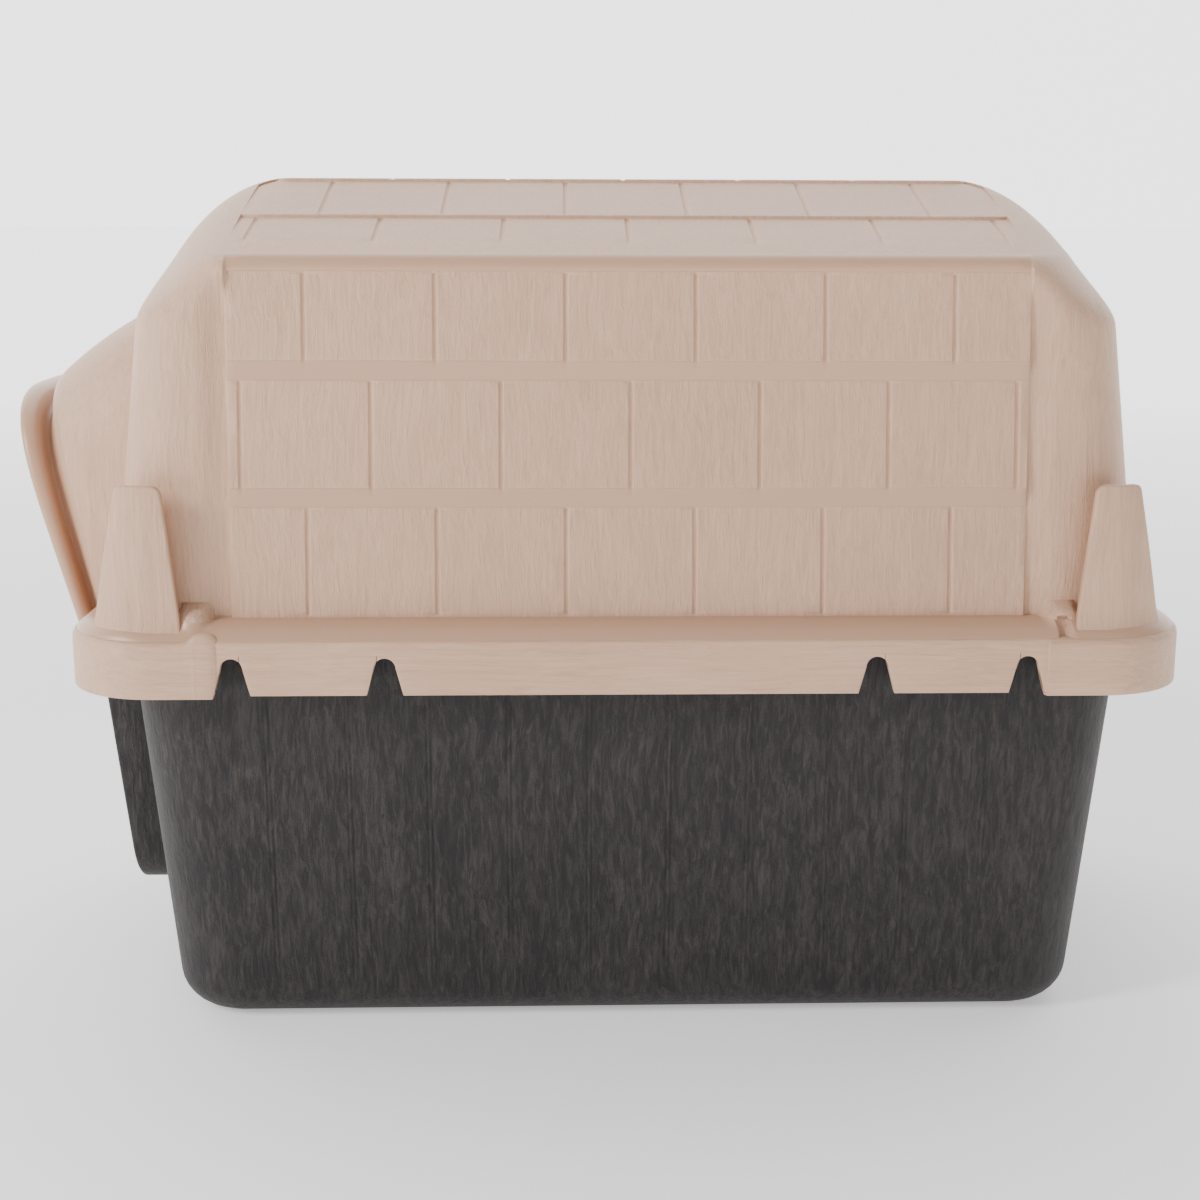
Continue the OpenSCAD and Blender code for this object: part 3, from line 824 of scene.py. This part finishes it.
def skirt_plate(side):
    """Middle part of one long skirt, with notches and the seats of the tabs' rolls."""
    cols = []
    NS = 9

    def flat(s, e=0.9):
        return [(MID_FACE, s + e), (MID_FACE - 0.08, s + 0.45 * e), (MID_FACE - 0.35, s + 0.12 * e),
                (MID_FACE - e, s), (MID_FACE - 3, s), (MID_FACE - WALL + e, s),
                (MID_FACE - WALL + 0.35, s + 0.12 * e), (MID_FACE - WALL + 0.08, s + 0.45 * e),
                (MID_FACE - WALL, s + e)]

    def seat():
        return [(HINGE_Y + SEAT_R * cos(a) * (3.0 / SEAT_R if i in (0, NS - 1) else 1),
                 HINGE_Z - Z0 + SEAT_R * sin(a) + 0.02)
                for i, a in enumerate(np.linspace(0, pi, NS))]

    def add(x, low, kind="flat"):
        cols.append((x, seat() if kind == "seat" else flat(low)))

    def notch(c, inner):
        """Columns through one notch; inner is the sign of the tab's side."""
        hs = [0.0, 0.0, 0.6, 2.0, 6.0, 12.0, 18.0, 20.0, 21.8, 23.2, 24.2, 24.8, 25.0]
        far = [(c - inner * (notch_edge(h) + (0.9 if i == 0 else 0.0)), h)
               for i, h in enumerate(hs)]
        tab = [(c + inner * notch_edge(h), h) for h in hs[::-1] if notch_edge(h) < 4.85]
        return far, tab

    add(0, 0)
    xs_mid = list(np.linspace(8, 140, 9))
    for x in xs_mid:
        add(x, 0)
    far, tab = notch(NOTCH_IN, 1)
    for x, h in far:
        add(x, h)
    for x, h in tab[1:]:
        add(x, h)
    x_end = 166.95
    q = 18 + 7.0 * sqrt(1 - ((x_end - NOTCH_IN) / 7.2) ** 2)
    add(x_end, q)
    add(x_end, 0, "seat")
    for x in np.linspace(172, 252, 9):
        add(x, 0, "seat")
    x_end = 2 * TAB_MID - x_end
    add(x_end, 0, "seat")
    add(x_end, q)
    far, tab = notch(NOTCH_OUT, -1)
    for x, h in tab[1:][::-1]:
        add(x, h)
    for x, h in far[::-1]:
        add(x, h)
    add(277.0, 0)
    # mirror to the other half
    allc = [(-x, l) for x, l in cols[:0:-1]] + cols
    rows = []
    top = [(34.2, 0), (35.2, 0.15), (35.95, 0.55), (36.45, 1.15), (36.6, CREASE - CORNER_STEP)]
    for x, loop in allc:
        s0 = loop[0][1]
        mid = [(MID_FACE, s0 + (34.2 - s0) * f) for f in (0.33, 0.67)]
        up = [(MID_FACE - d, s) for s, d in top]
        col = up[::-1] + mid[::-1] + loop + [(MID_FACE - WALL, SKIRT_H - 5)]
        rows.append([(x, -side * y, Z0 + s) for y, s in col])
    return sheet(rows, flip=side > 0)


for side in (1, -1):
    V, Fs = skirt_plate(side)
    build("skirt_middle_near" if side > 0 else "skirt_middle_far", V, Fs, [mat_along], sharp=38,
          weld=2e-5)


def skirt_path(x_start, y_stop):
    """(x, y, normal, distance) round one end of the skirt, in the quadrant x > 0, y < 0."""
    pts = []
    for x in (270.5, 271.0, 272.0, 273.5, 274.6, 275.0, 275.4, 276, 277, 278.5, 280, 282, 284, 285,
              285.6, 286.0, 286.4, 287, 288, 291, 296, 302, 308):
        if x >= x_start:
            pts.append((x, -HALF_W, 0.0, -1.0))
    cx, cy = HALF_L - SKIRT_R, HALF_W - SKIRT_R
    for i in range(27):
        a = radians(90 * i / 26)
        pts.append((cx + SKIRT_R * sin(a), -(cy + SKIRT_R * cos(a)),
                    sin(a), -cos(a)))
    n = 22
    for i in range(1, n + 1):
        pts.append((HALF_L, -(cy + (y_stop - cy) * i / n), 1.0, 0.0))
    return pts


def skirt_profile(lift=0.0, step=0.0, ridge=0.0):
    """(inset, height) round a skirt section; lift, step and ridge shape the rib by the tab."""
    crease = [(0.95, 34.2 + lift * 0.6), (2.1, 35.7 + lift * 0.85), (3.7, 36.6 + lift),
              (6.0, 37.0 + lift), (9.0, 37.2 + lift * 0.5)]
    o = 0.25 - ridge
    pts = [(8.0, SKIRT_H - 5), (8.0, 0.0), (7.6, -1.3), (6.6, -2.0), (2.0, -2.0), (0.8 + o, -1.75),
           (0.2 + o, -1.1), (o, -0.1), (o, 8), (o, 16), (o, 24), (o, 30.5 + lift * 0.2),
           (0.28 + o, 32.6 + lift * 0.35)] + crease
    res = []
    for i, (f, s) in enumerate(pts):
        if i >= 4:
            f = f + step * (1.0 if i < 13 else max(0.0, 1 - (i - 12) / 5))
        res.append((f, s))
    return res


def skirt_end(name, sx, ends):
    """Swept corner sections: sx is the end, ends the list of (tag, side) pairs."""
    for tag, sy in ends:
        path = skirt_path(270.5, 0.0 if sx > 0 else RIM_HALF - 12)
        rows = []
        for x, y, nx, ny in path:
            lift, step, ridge = 0.0, 0.0, 0.0
            if ny == -1.0:
                if sx < 0 and sy > 0:
                    q = (279.5 - x) / 9.0
                    step = 2.6 * (1 - sqrt(max(0.0, 1 - q * q))) if x < 279.5 else 0.0
                    dome = 1 - ((x - 279.5) / 9.2) ** 2
                    lift = 5.2 * sqrt(dome) if dome > 0 else 0.0
                    ridge = 0.2 * exp(-((x - 286.0) / 0.5) ** 2)
                else:
                    step = 2.6 * float(1 - smooth((x - 274.6) / 1.4))
            low = -9.0
            if ny == -1.0 and x < 274.0:
                hs = np.linspace(0, 18, 60)
                low = float(np.interp(-(x - NOTCH_OUT), [-notch_edge(h) for h in hs], hs))
            rows.append([(sx * (x - nx * o), sy * (y - ny * o), Z0 + max(s, low))
                         for o, s in skirt_profile(lift, step, ridge)])
        V, fs = sheet(rows, flip=sx * sy < 0)
        build(name + "_" + tag, V, fs, [mat_along], sharp=38)


skirt_end("skirt_front", -1, [("near", 1), ("far", -1)])
skirt_end("skirt_rear", 1, [("near", 1), ("far", -1)])


# ---- ears
def ear(name, sx, sy):
    """Curved upright plate on a skirt corner, cut flat, bevelled and then bent to its arc."""
    r_mid = 52.0
    foot, top = Z0 + 33.0, Z0 + 137.0
    lo, hi = -20.0, r_mid * radians(52.0)
    t_lo, t_hi = -9.0, r_mid * radians(27.5)
    out = [(lo, foot), (hi, foot), (hi - 0.5, foot + 5)]
    for s, rc, edge in ((1, 5.0, t_hi), (-1, 7.0, t_lo)):
        pts = []
        for i in range(9):
            a = radians(8 + 82 * i / 8)
            pts.append((edge + s * (-rc + rc * cos(a)), top - rc + rc * sin(a)))
        out += pts if s > 0 else pts[::-1]
    out += [(lo + 0.5, foot + 5)]
    bm = bmesh.new()
    vs = [bm.verts.new((u, v, 0)) for u, v in out]
    f = bm.faces.new(vs)
    ext = bmesh.ops.extrude_face_region(bm, geom=[f])
    for g in ext["geom"]:
        if isinstance(g, bmesh.types.BMVert):
            g.co.z = 6.0
    bmesh.ops.recalc_face_normals(bm, faces=bm.faces)
    rim = [e for e in bm.edges if abs(e.verts[0].co.z - e.verts[1].co.z) < 1e-6
           and not (abs(e.verts[0].co.y - foot) < 1e-6 and abs(e.verts[1].co.y - foot) < 1e-6)]
    bmesh.ops.bevel(bm, geom=rim, offset=1.5, segments=4, profile=0.5, affect="EDGES",
                    clamp_overlap=True)
    for i in range(1, 34):
        u = lo + (hi - lo) * i / 34
        bmesh.ops.bisect_plane(bm, geom=bm.verts[:] + bm.edges[:] + bm.faces[:], plane_co=(u, 0, 0),
                               plane_no=(1, 0, 0))
    for v in (foot + 2, foot + 4, foot + 6, foot + 9, foot + 13, foot + 20, foot + 32, foot + 50,
              foot + 70):
        bmesh.ops.bisect_plane(bm, geom=bm.verts[:] + bm.edges[:] + bm.faces[:], plane_co=(0, v, 0),
                               plane_no=(0, 1, 0))
    V = []
    cx, cy = HALF_L - SKIRT_R, HALF_W - SKIRT_R
    for vert in bm.verts:
        u, v, w = vert.co
        k = (v - foot) / (top - foot)
        flare = 4.4 * exp(-max(0.0, v - foot - 3.5) / 4.5) * (w / 6.0)
        r = 49.0 - 5.0 * k + w + flare
        ang = u / r_mid
        if u < 0:
            p = (cx + u, cy + r)
        else:
            p = (cx + r * sin(ang), cy + r * cos(ang))
        V.append((sx * p[0], -sy * p[1], v))
    bm.verts.index_update()
    fs = [[v.index for v in f.verts] for f in bm.faces]
    if sx * sy < 0:
        fs = [f[::-1] for f in fs]
    bm.free()
    ob = build(name, V, fs, [mat_up], sharp=35)
    face_out(ob)


for sx, a in ((-1, "front"), (1, "rear")):
    for sy, b in ((1, "near"), (-1, "far")):
        ear("ear_%s_%s" % (a, b), sx, sy)


# ---- snap tabs
def tab(name, node_name, body, sx, sy):
    hh = HINGE_Z - Z0
    loop = [(MID_FACE - 0.1, hh), (MID_FACE, 20), (MID_FACE, 12), (MID_FACE, 4), (MID_FACE, 1.0),
            (MID_FACE - 0.1, 0.5), (MID_FACE - 0.4, 0.1), (MID_FACE - 1, 0), (MID_FACE - 3, 0),
            (MID_FACE - WALL + 1, 0), (MID_FACE - WALL + 0.3, 0.3), (MID_FACE - WALL, 1.0),
            (MID_FACE - WALL, 6.0), (MID_FACE - WALL, 14), (MID_FACE - WALL + 0.1, hh)]
    for a in np.linspace(pi, 0, 13)[1:-1]:
        loop.append((HINGE_Y + ROLL_R * cos(a), hh + ROLL_R * sin(a)))

    def half_w(s):
        if s < 18:
            return TAB_HALF - notch_edge(s) - 0.05
        return min(44.75, TAB_HALF - notch_edge(s) - 0.05) if s < 25 else 44.75

    us = [(-1, 0.8), (-0.9995, 0.35), (-0.997, 0.1), (-0.99, 0)] + \
        [(u, 0) for u in np.linspace(-0.9, 0.9, 13)] + \
        [(0.99, 0), (0.997, 0.1), (0.9995, 0.35), (1, 0.8)]
    # extra front and back levels so the side edge follows the notch
    front = [(MID_FACE, s) for s in (25.2, 24.4, 23.2, 21.8)]
    back = [(MID_FACE - WALL, s) for s in (18.0, 21.8, 23.2, 24.4, 25.2)]
    lp = loop[:1] + front + loop[1:14] + back + loop[14:]
    cy = HINGE_Y
    rows = []
    for u, e in us:
        col = []
        for y, s in lp:
            yy = y - copysign(min(e, 2.4), y - cy) if abs(y - cy) > 0.5 else y
            ss = s
            if s > hh:
                yy = HINGE_Y + (y - HINGE_Y) * (1 - e / 3.0)
                ss = hh + (s - hh) * (1 - e / 3.0)
            x = TAB_MID + u * half_w(s)
            col.append((sx * x, -sy * yy, Z0 + ss))
        rows.append(col)
    P = np.array(rows)
    k, n = P.shape[:2]
    fs = grid_faces(k, n, closed=True, flip=sx * sy > 0)
    caps = [list(range(n)), [(k - 1) * n + i for i in range(n)]]
    fs += [caps[0] if sx * sy > 0 else caps[0][::-1], caps[1][::-1] if sx * sy > 0 else caps[1]]
    C = list(map(tuple, P.reshape(-1, 3)))
    # nib behind the tab that clips under the base's lug
    nib = [(0.0, 11.0), (-1.3, 8.6), (-2.2, 8.0), (-2.2, 12.2), (-1.9, 13.0), (0.0, 13.4)]
    nib = [(MID_FACE - WALL + 0.4 + dy, s) for dy, s in nib]
    base_i = len(C)
    nb = []
    ext = [(-32.0, 0.6), (-31.6, 0.15), (-30.8, 0.0), (0, 0), (30.8, 0.0), (31.6, 0.15),
           (32.0, 0.6)]
    for x, e in ext:
        nb.append([(sx * (TAB_MID + x), -sy * (y + e * 0.5), Z0 + s) for y, s in nib])
    nb = np.array(nb)
    kk, nn = nb.shape[:2]
    C += list(map(tuple, nb.reshape(-1, 3)))
    fs += grid_faces(kk, nn, closed=True, flip=sx * sy < 0, start=base_i)
    fs += [[base_i + i for i in range(nn)][::-1], [base_i + (kk - 1) * nn + i for i in range(nn)]]
    ob = build(name, C, fs, [mat_along], body=body, sharp=38, replaces=(node_name,))
    face_out(ob)


tab("snap_tab_near_front", "tab_near_front", "tab_nf", -1, 1)
tab("snap_tab_near_rear", "tab_near_rear", "tab_nr", 1, 1)
tab("snap_tab_far_front", "tab_far_front", "tab_ff", -1, -1)
tab("snap_tab_far_rear", "tab_far_rear", "tab_fr", 1, -1)


# ---- base tub
SEAT_GAP = 0.2
TOP_B = Z_LEDGE - SEAT_GAP
COLLAR_TOP = Z0 - CORNER_STEP - SEAT_GAP
BOARDS = [27.3, 81.9, 136.4, 190.9, 245.4]
base_x = {0.0}
for g in BOARDS:
    for o in (-3.4, -2.6, -1.9, -1.3, -0.7, 0.0, 0.7, 1.3, 1.9, 2.6, 3.4, 14, -14):
        base_x |= {g + o, -g - o}
base_x = np.array(sorted(x for x in base_x if abs(x) < 262))
DOOR_Y = [116, 112, 109, 106, 102, 96, 90, 84, 78, 70, 58, 46, 34, 22, 11, 0]


def in_door(y, z, half, bottom, corner):
    """Whether (y, z) lies in the base's U-shaped doorway."""
    y = abs(y)
    if z < bottom or y > half:
        return False
    if z < bottom + corner and y > half - corner:
        return hypot(y - (half - corner), z - (bottom + corner)) < corner
    return True


def base_levels(off, floor_z):
    """(end reach, half width, corner radius, z) of the tub's contours, bottom to top."""
    r = FLOOR_R - off / 2
    out = []
    for i in range(9):
        q = radians(90 * i / 8)
        z = floor_z + r * (1 - cos(q))
        d = (Z0 - z) * BASE_DRAFT
        e = r * (1 - sin(q))
        out.append((BASE_A - d - e - off, BASE_B - d - e - off, max(8, BASE_R - e - off), z))
    zs = sorted(set(list(np.linspace(floor_z + r + 8, 64, 5)) + [71, 74, 77, 80, 86, 92, 98, 104] +
                    list(np.linspace(114, 238, 13)) + [244, COLLAR_TOP, 256, 266, TOP_B]))
    for z in zs:
        d = (Z0 - z) * BASE_DRAFT
        out.append((BASE_A - d - off, BASE_B - d - off, BASE_R - off, z))
    return out


def board_disp(x, z):
    """Depth of the doubled board lines at (x, z)."""
    d = np.zeros(len(x))
    fade = float(smooth((z - 22) / 30.0))
    for g in BOARDS:
        t = np.abs(np.abs(x) - g)
        d += 0.55 * fade * (smooth((1.2 - np.abs(t - 1.5)) / 0.9))
    return d


def tub(off, floor_z, flip, boards):
    """One skin of the tub, off inside the outer face, with the doorway left open."""
    rows = []
    for a, b, c, z in base_levels(off, floor_z):
        x = base_x.copy()
        lim = a - c
        big = np.abs(x) > 200
        x[big] = np.sign(x[big]) * (200 + (np.abs(x[big]) - 200) * (min(262, lim + 4) - 200) / 62)
        y = side_y(x, a, b, c, c)
        if boards:
            y = y - board_disp(base_x, z)
        tx, ty = tail(a, b, c, c, float(min(262, lim + 4)), 26, RIM_HALF - 2, DOOR_Y)
        rows.append(ring_of(x, y, tx, ty))
    lv = base_levels(off, floor_z)
    P = np.array([np.column_stack([r, np.full(len(r), l[3])]) for r, l in zip(rows, lv)])
    k, cols = P.shape[:2]
    C = P.reshape(-1, 3)
    fs = []
    for q in grid_faces(k, cols, closed=True, flip=flip):
        c = C[list(q)].mean(0)
        if c[0] < -200:
            if c[2] > COLLAR_TOP and abs(c[1]) < RIM_HALF - 2:
                continue
            if in_door(c[1], c[2], DOOR_HALF + 5, SILL - 3, 27):
                continue
        fs.append(q)
    bottom = list(range(cols))
    fs.append(bottom[::-1] if not flip else bottom)
    return C, fs


Co, Fo = tub(0.0, 0.0, False, True)
build("base_tub_outside", Co, Fo, [mat_char], body="base", sharp=38,
      replaces=("base_shell",))
Cb, Fb = tub(WALL, WALL, True, False)
build("base_tub_inside", Cb, Fb, [mat_char_smooth], body="base", sharp=38)


def u_curve(half, bottom, corner, top, n=12):
    pts = [(half, z) for z in np.linspace(top, bottom + corner, 14)]
    pts += [(half - corner + corner * cos(a), bottom + corner - corner * sin(a))
            for a in np.linspace(0, pi / 2, n + 1)[1:]]
    pts += [(y, bottom) for y in np.linspace(half - corner, -(half - corner), 16)[1:-1]]
    pts += [(-(half - corner + corner * sin(a)), bottom + corner - corner * cos(a))
            for a in np.linspace(0, pi / 2, n + 1)[:-1]]
    pts += [(-half, z) for z in np.linspace(bottom + corner, top, 14)]
    return np.array(pts)


def collar():
    """Doorway collar of the base: a leaning sleeve with a rounded rim."""
    top = COLLAR_TOP
    po, pi_ = u_curve(RIM_HALF - 8, SILL - 6, 30, top), u_curve(DOOR_HALF, SILL, 24, top)
    rows = []

    def front(z):
        return -(RIM_FRONT - 6) + 0.111 * (Z0 - z)

    def wall_x(z, off):
        zc = np.clip(z, 30, Z0)
        return -(BASE_A - (Z0 - zc) * BASE_DRAFT - off)

    prof = [("in", 1.0, 0.9), ("in", 1.0, 0.35), ("in", 1.0, 0.0), ("in", 0.8, 0.0),
            ("in", 0.5, 0.0), ("in", 0.2, 0.0), ("abs", 2.6, 0.0), ("abs", 1.2, 0.05),
            ("abs", 0.35, 0.17),
            ("abs", 0.0, 0.34), ("abs", 0.0, 0.66), ("abs", 0.35, 0.83), ("abs", 1.2, 0.95),
            ("abs", 2.6, 1.0), ("out", 0.25, 1.0), ("out", 0.5, 1.0), ("out", 0.75, 1.0),
            ("out", 1.0, 1.0)]
    for kind, w, k in prof:
        p = pi_ + (po - pi_) * k
        fx = front(p[:, 1])
        if kind == "abs":
            x = fx + w
        else:
            end = wall_x(p[:, 1], WALL + 0.4 if kind == "in" else 2.5)
            x = fx + 2.6 + (end - fx - 2.6) * w
        rows.append(np.column_stack([x, p[:, 0], p[:, 1]]))
    P = np.array(rows)
    k, cols = P.shape[:2]
    fs = grid_faces(k, cols, flip=True)
    for e in (0, cols - 1):
        loop = [j * cols + e for j in range(k)]
        fs.append(loop if e == 0 else loop[::-1])
    return P.reshape(-1, 3), fs


Vc, Fc = collar()
cob = build("base_collar", Vc, Fc, [mat_char], body="base", sharp=40)


def flange():
    """Rim that the upper shell sits on, open at the doorway, with the four catch lugs."""
    o = CORNER_STEP + WALL + 2.5
    a, b, c = HALF_L - o, HALF_W - o, SKIRT_R - o
    quad = [(a - c + c * sin(t), b - c + c * cos(t), sin(t), cos(t))
            for t in np.linspace(0, pi / 2, 15)]
    def mir(l, sx, sy):
        return [(sx * x, sy * y, sx * nx, sy * ny) for x, y, nx, ny in l]
    path = [(-a, -119.5, -1.0, 0.0), (-a, -150.0, -1.0, 0.0)] + mir(quad, -1, -1)[::-1]
    path += [(x, -b, 0.0, -1.0) for x in np.linspace(-300, 300, 13)]
    path += mir(quad, 1, -1) + [(a, y, 1.0, 0.0) for y in np.linspace(-150, 150, 9)]
    path += mir(quad, 1, 1)[::-1] + [(x, b, 0.0, 1.0) for x in np.linspace(300, -300, 13)]
    path += mir(quad, -1, 1) + [(-a, 150.0, -1.0, 0.0), (-a, 119.5, -1.0, 0.0)]
    rows = []
    d = (Z0 - TOP_B) * BASE_DRAFT
    for x, y, nx, ny in path:
        ax = BASE_A - d - WALL
        bx = BASE_B - d - WALL
        # inward reach along the normal to the tub's inner face
        if abs(nx) == 1.0:
            reach = a - ax
        elif abs(ny) == 1.0:
            reach = b - bx
        else:
            reach = (a - ax) * abs(nx) ** 2 + (b - bx) * abs(ny) ** 2
        prof = [(reach - 0.05, TOP_B - 8), (reach - 0.05, TOP_B - 0.8), (reach - 0.8, TOP_B),
                (1.0, TOP_B), (0.3, TOP_B - 0.3), (0.0, TOP_B - 1.0), (0.0, TOP_B - 4.2),
                (0.3, TOP_B - 4.8), (1.0, TOP_B - 5.0), (reach - WALL - 3.0, TOP_B - 5.0),
                (reach - WALL - 0.6, TOP_B - 6.2), (reach - WALL + 1, TOP_B - 9)]
        rows.append([(x - nx * k, y - ny * k, z) for k, z in prof])
    P = np.array(rows)
    k, n = P.shape[:2]
    fs = grid_faces(k, n)
    fs += [list(range(n))[::-1], [(k - 1) * n + i for i in range(n)]]
    C = list(map(tuple, P.reshape(-1, 3)))
    # lugs under the rim, chamfered below for the tabs' nibs to ride over
    y_out = MID_FACE - WALL - 2.2 - 0.3
    for sx in (-1, 1):
        for sy in (-1, 1):
            prof = [(y_out - 5, Z0 + 16), (y_out - 4, Z0 + 14.4), (y_out - 2.6, Z0 + 14),
                    (y_out - 1.4, Z0 + 14.3), (y_out - 0.4, Z0 + 15.6), (y_out, Z0 + 17.5),
                    (y_out, TOP_B - 0.6),
                    (y_out - 0.6, TOP_B - 0.1), (y_out - 5, TOP_B - 0.1)]
            s0 = len(C)
            ext = [(-32, 0.7), (-31.5, 0.2), (-30.5, 0), (0, 0), (30.5, 0), (31.5, 0.2), (32, 0.7)]
            for x, e in ext:
                C += [(sx * (TAB_MID + x), sy * (y - (e if y > y_out - 2 else 0)), z)
                      for y, z in prof]
            nn = len(prof)
            fs += grid_faces(len(ext), nn, closed=True, start=s0, flip=sx * sy > 0)
            last = s0 + (len(ext) - 1) * nn
            fs += [list(range(s0, s0 + nn)), list(range(last, last + nn))[::-1]]
    return C, fs


Vf, Ff = flange()
fob = build("base_rim", Vf, Ff, [mat_char_smooth], body="base", sharp=38)
for ob in (fob, cob):
    face_out(ob)

# ---- floor, light, camera
FLOOR = 90.0                      # half size, metres
NEAR_GLOW, FAR_GLOW = 0.46, 1.25  # the floor glows more with distance, to meet the world
BACK_GLOW, FRONT_GLOW, SIDE_FALL = 2.7, 0.28, -0.16
fm_ = bpy.data.meshes.new("floor")
fm_.from_pydata([(sx * FLOOR, sy * FLOOR, 0) for sx, sy in ((-1, -1), (1, -1), (1, 1), (-1, 1))],
                [], [(0, 1, 2, 3)])
floor = bpy.data.objects.new("floor", fm_)
bpy.context.scene.collection.objects.link(floor)
mfl, nfl, bfl = new_mat("studio_floor")
bfl.inputs["Base Color"].default_value = (0.93, 0.93, 0.93, 1)
bfl.inputs["Roughness"].default_value = 0.9
bfl.inputs["Specular IOR Level"].default_value = 0.1
tcf = nfl.nodes.new("ShaderNodeTexCoord")
lenf = nfl.nodes.new("ShaderNodeVectorMath")
lenf.operation = "LENGTH"
nfl.links.new(tcf.outputs["Object"], lenf.inputs[0])
past = math_node(nfl, "ADD", lenf.outputs["Value"], -0.9)
far_ = math_node(nfl, "MULTIPLY", past, 0.28, clamp=True)
glow_f = math_node(nfl, "ADD", math_node(nfl, "MULTIPLY", far_, FAR_GLOW), NEAR_GLOW)
bfl.inputs["Emission Color"].default_value = (1, 1, 1, 1)
nfl.links.new(glow_f, bfl.inputs["Emission Strength"])
fm_.materials.append(mfl)


def area(name, loc, target, size, power, color=(1, 1, 1)):
    d = bpy.data.lights.new(name, "AREA")
    d.shape = "RECTANGLE"
    d.size, d.size_y = size
    d.energy = power
    d.color = color
    o = bpy.data.objects.new(name, d)
    bpy.context.scene.collection.objects.link(o)
    o.location = loc
    o.rotation_mode = "QUATERNION"
    o.rotation_quaternion = (Vector(target) - Vector(loc)).to_track_quat("-Z", "Y")
    return o


area("key", (-2.1, -1.3, 1.5), (0, 0, 0.35), (0.5, 1.2), 54)
area("fill", (1.4, -2.4, 1.6), (0, 0, 0.3), (1.4, 1.2), 8)
area("top", (0, 0.1, 2.4), (0, 0, 0.3), (2.0, 1.4), 9)
world = bpy.data.worlds.new("studio")
bpy.context.scene.world = world
world.use_nodes = True
wn = world.node_tree
bg = wn.nodes["Background"]
tcw = wn.nodes.new("ShaderNodeTexCoord")
sep = wn.nodes.new("ShaderNodeSeparateXYZ")
wn.links.new(tcw.outputs["Generated"], sep.inputs[0])
back = math_node(wn, "MULTIPLY", math_node(wn, "ADD", sep.outputs["Y"], -0.1), 2.5, clamp=True)
side = math_node(wn, "MULTIPLY", sep.outputs["X"], SIDE_FALL)
glow = math_node(wn, "ADD", math_node(wn, "MULTIPLY", back, BACK_GLOW), FRONT_GLOW)
glow = math_node(wn, "ADD", glow, side)
wn.links.new(glow, bg.inputs[1])
bg.inputs[0].default_value = (1.0, 1.0, 1.0, 1)

# camera
cam_data = bpy.data.cameras.new("camera")
cam = bpy.data.objects.new("camera", cam_data)
bpy.context.scene.collection.objects.link(cam)
YAW, PITCH_A, ROLL = 0.0317116, 0.2058341, 0.0035017
LENS, SHIFT_X, SHIFT_Y = 55.3212, -0.01918333, -0.00739167
fwd = Vector((sin(YAW) * cos(PITCH_A), cos(YAW) * cos(PITCH_A), -sin(PITCH_A)))
right0 = Vector((cos(YAW), -sin(YAW), 0))
up0 = right0.cross(fwd)
right = cos(ROLL) * right0 + sin(ROLL) * up0
up = -sin(ROLL) * right0 + cos(ROLL) * up0
rot = Matrix((right, up, -fwd)).transposed().to_4x4()
cam.matrix_world = Matrix.Translation(Vector((-0.0141, -1.4147, 0.5652))) @ rot
cam_data.sensor_fit = "HORIZONTAL"
cam_data.sensor_width = 36.0
cam_data.lens, cam_data.shift_x, cam_data.shift_y = LENS, SHIFT_X, SHIFT_Y
cam_data.clip_start, cam_data.clip_end = 0.01, 50
bpy.context.scene.camera = cam
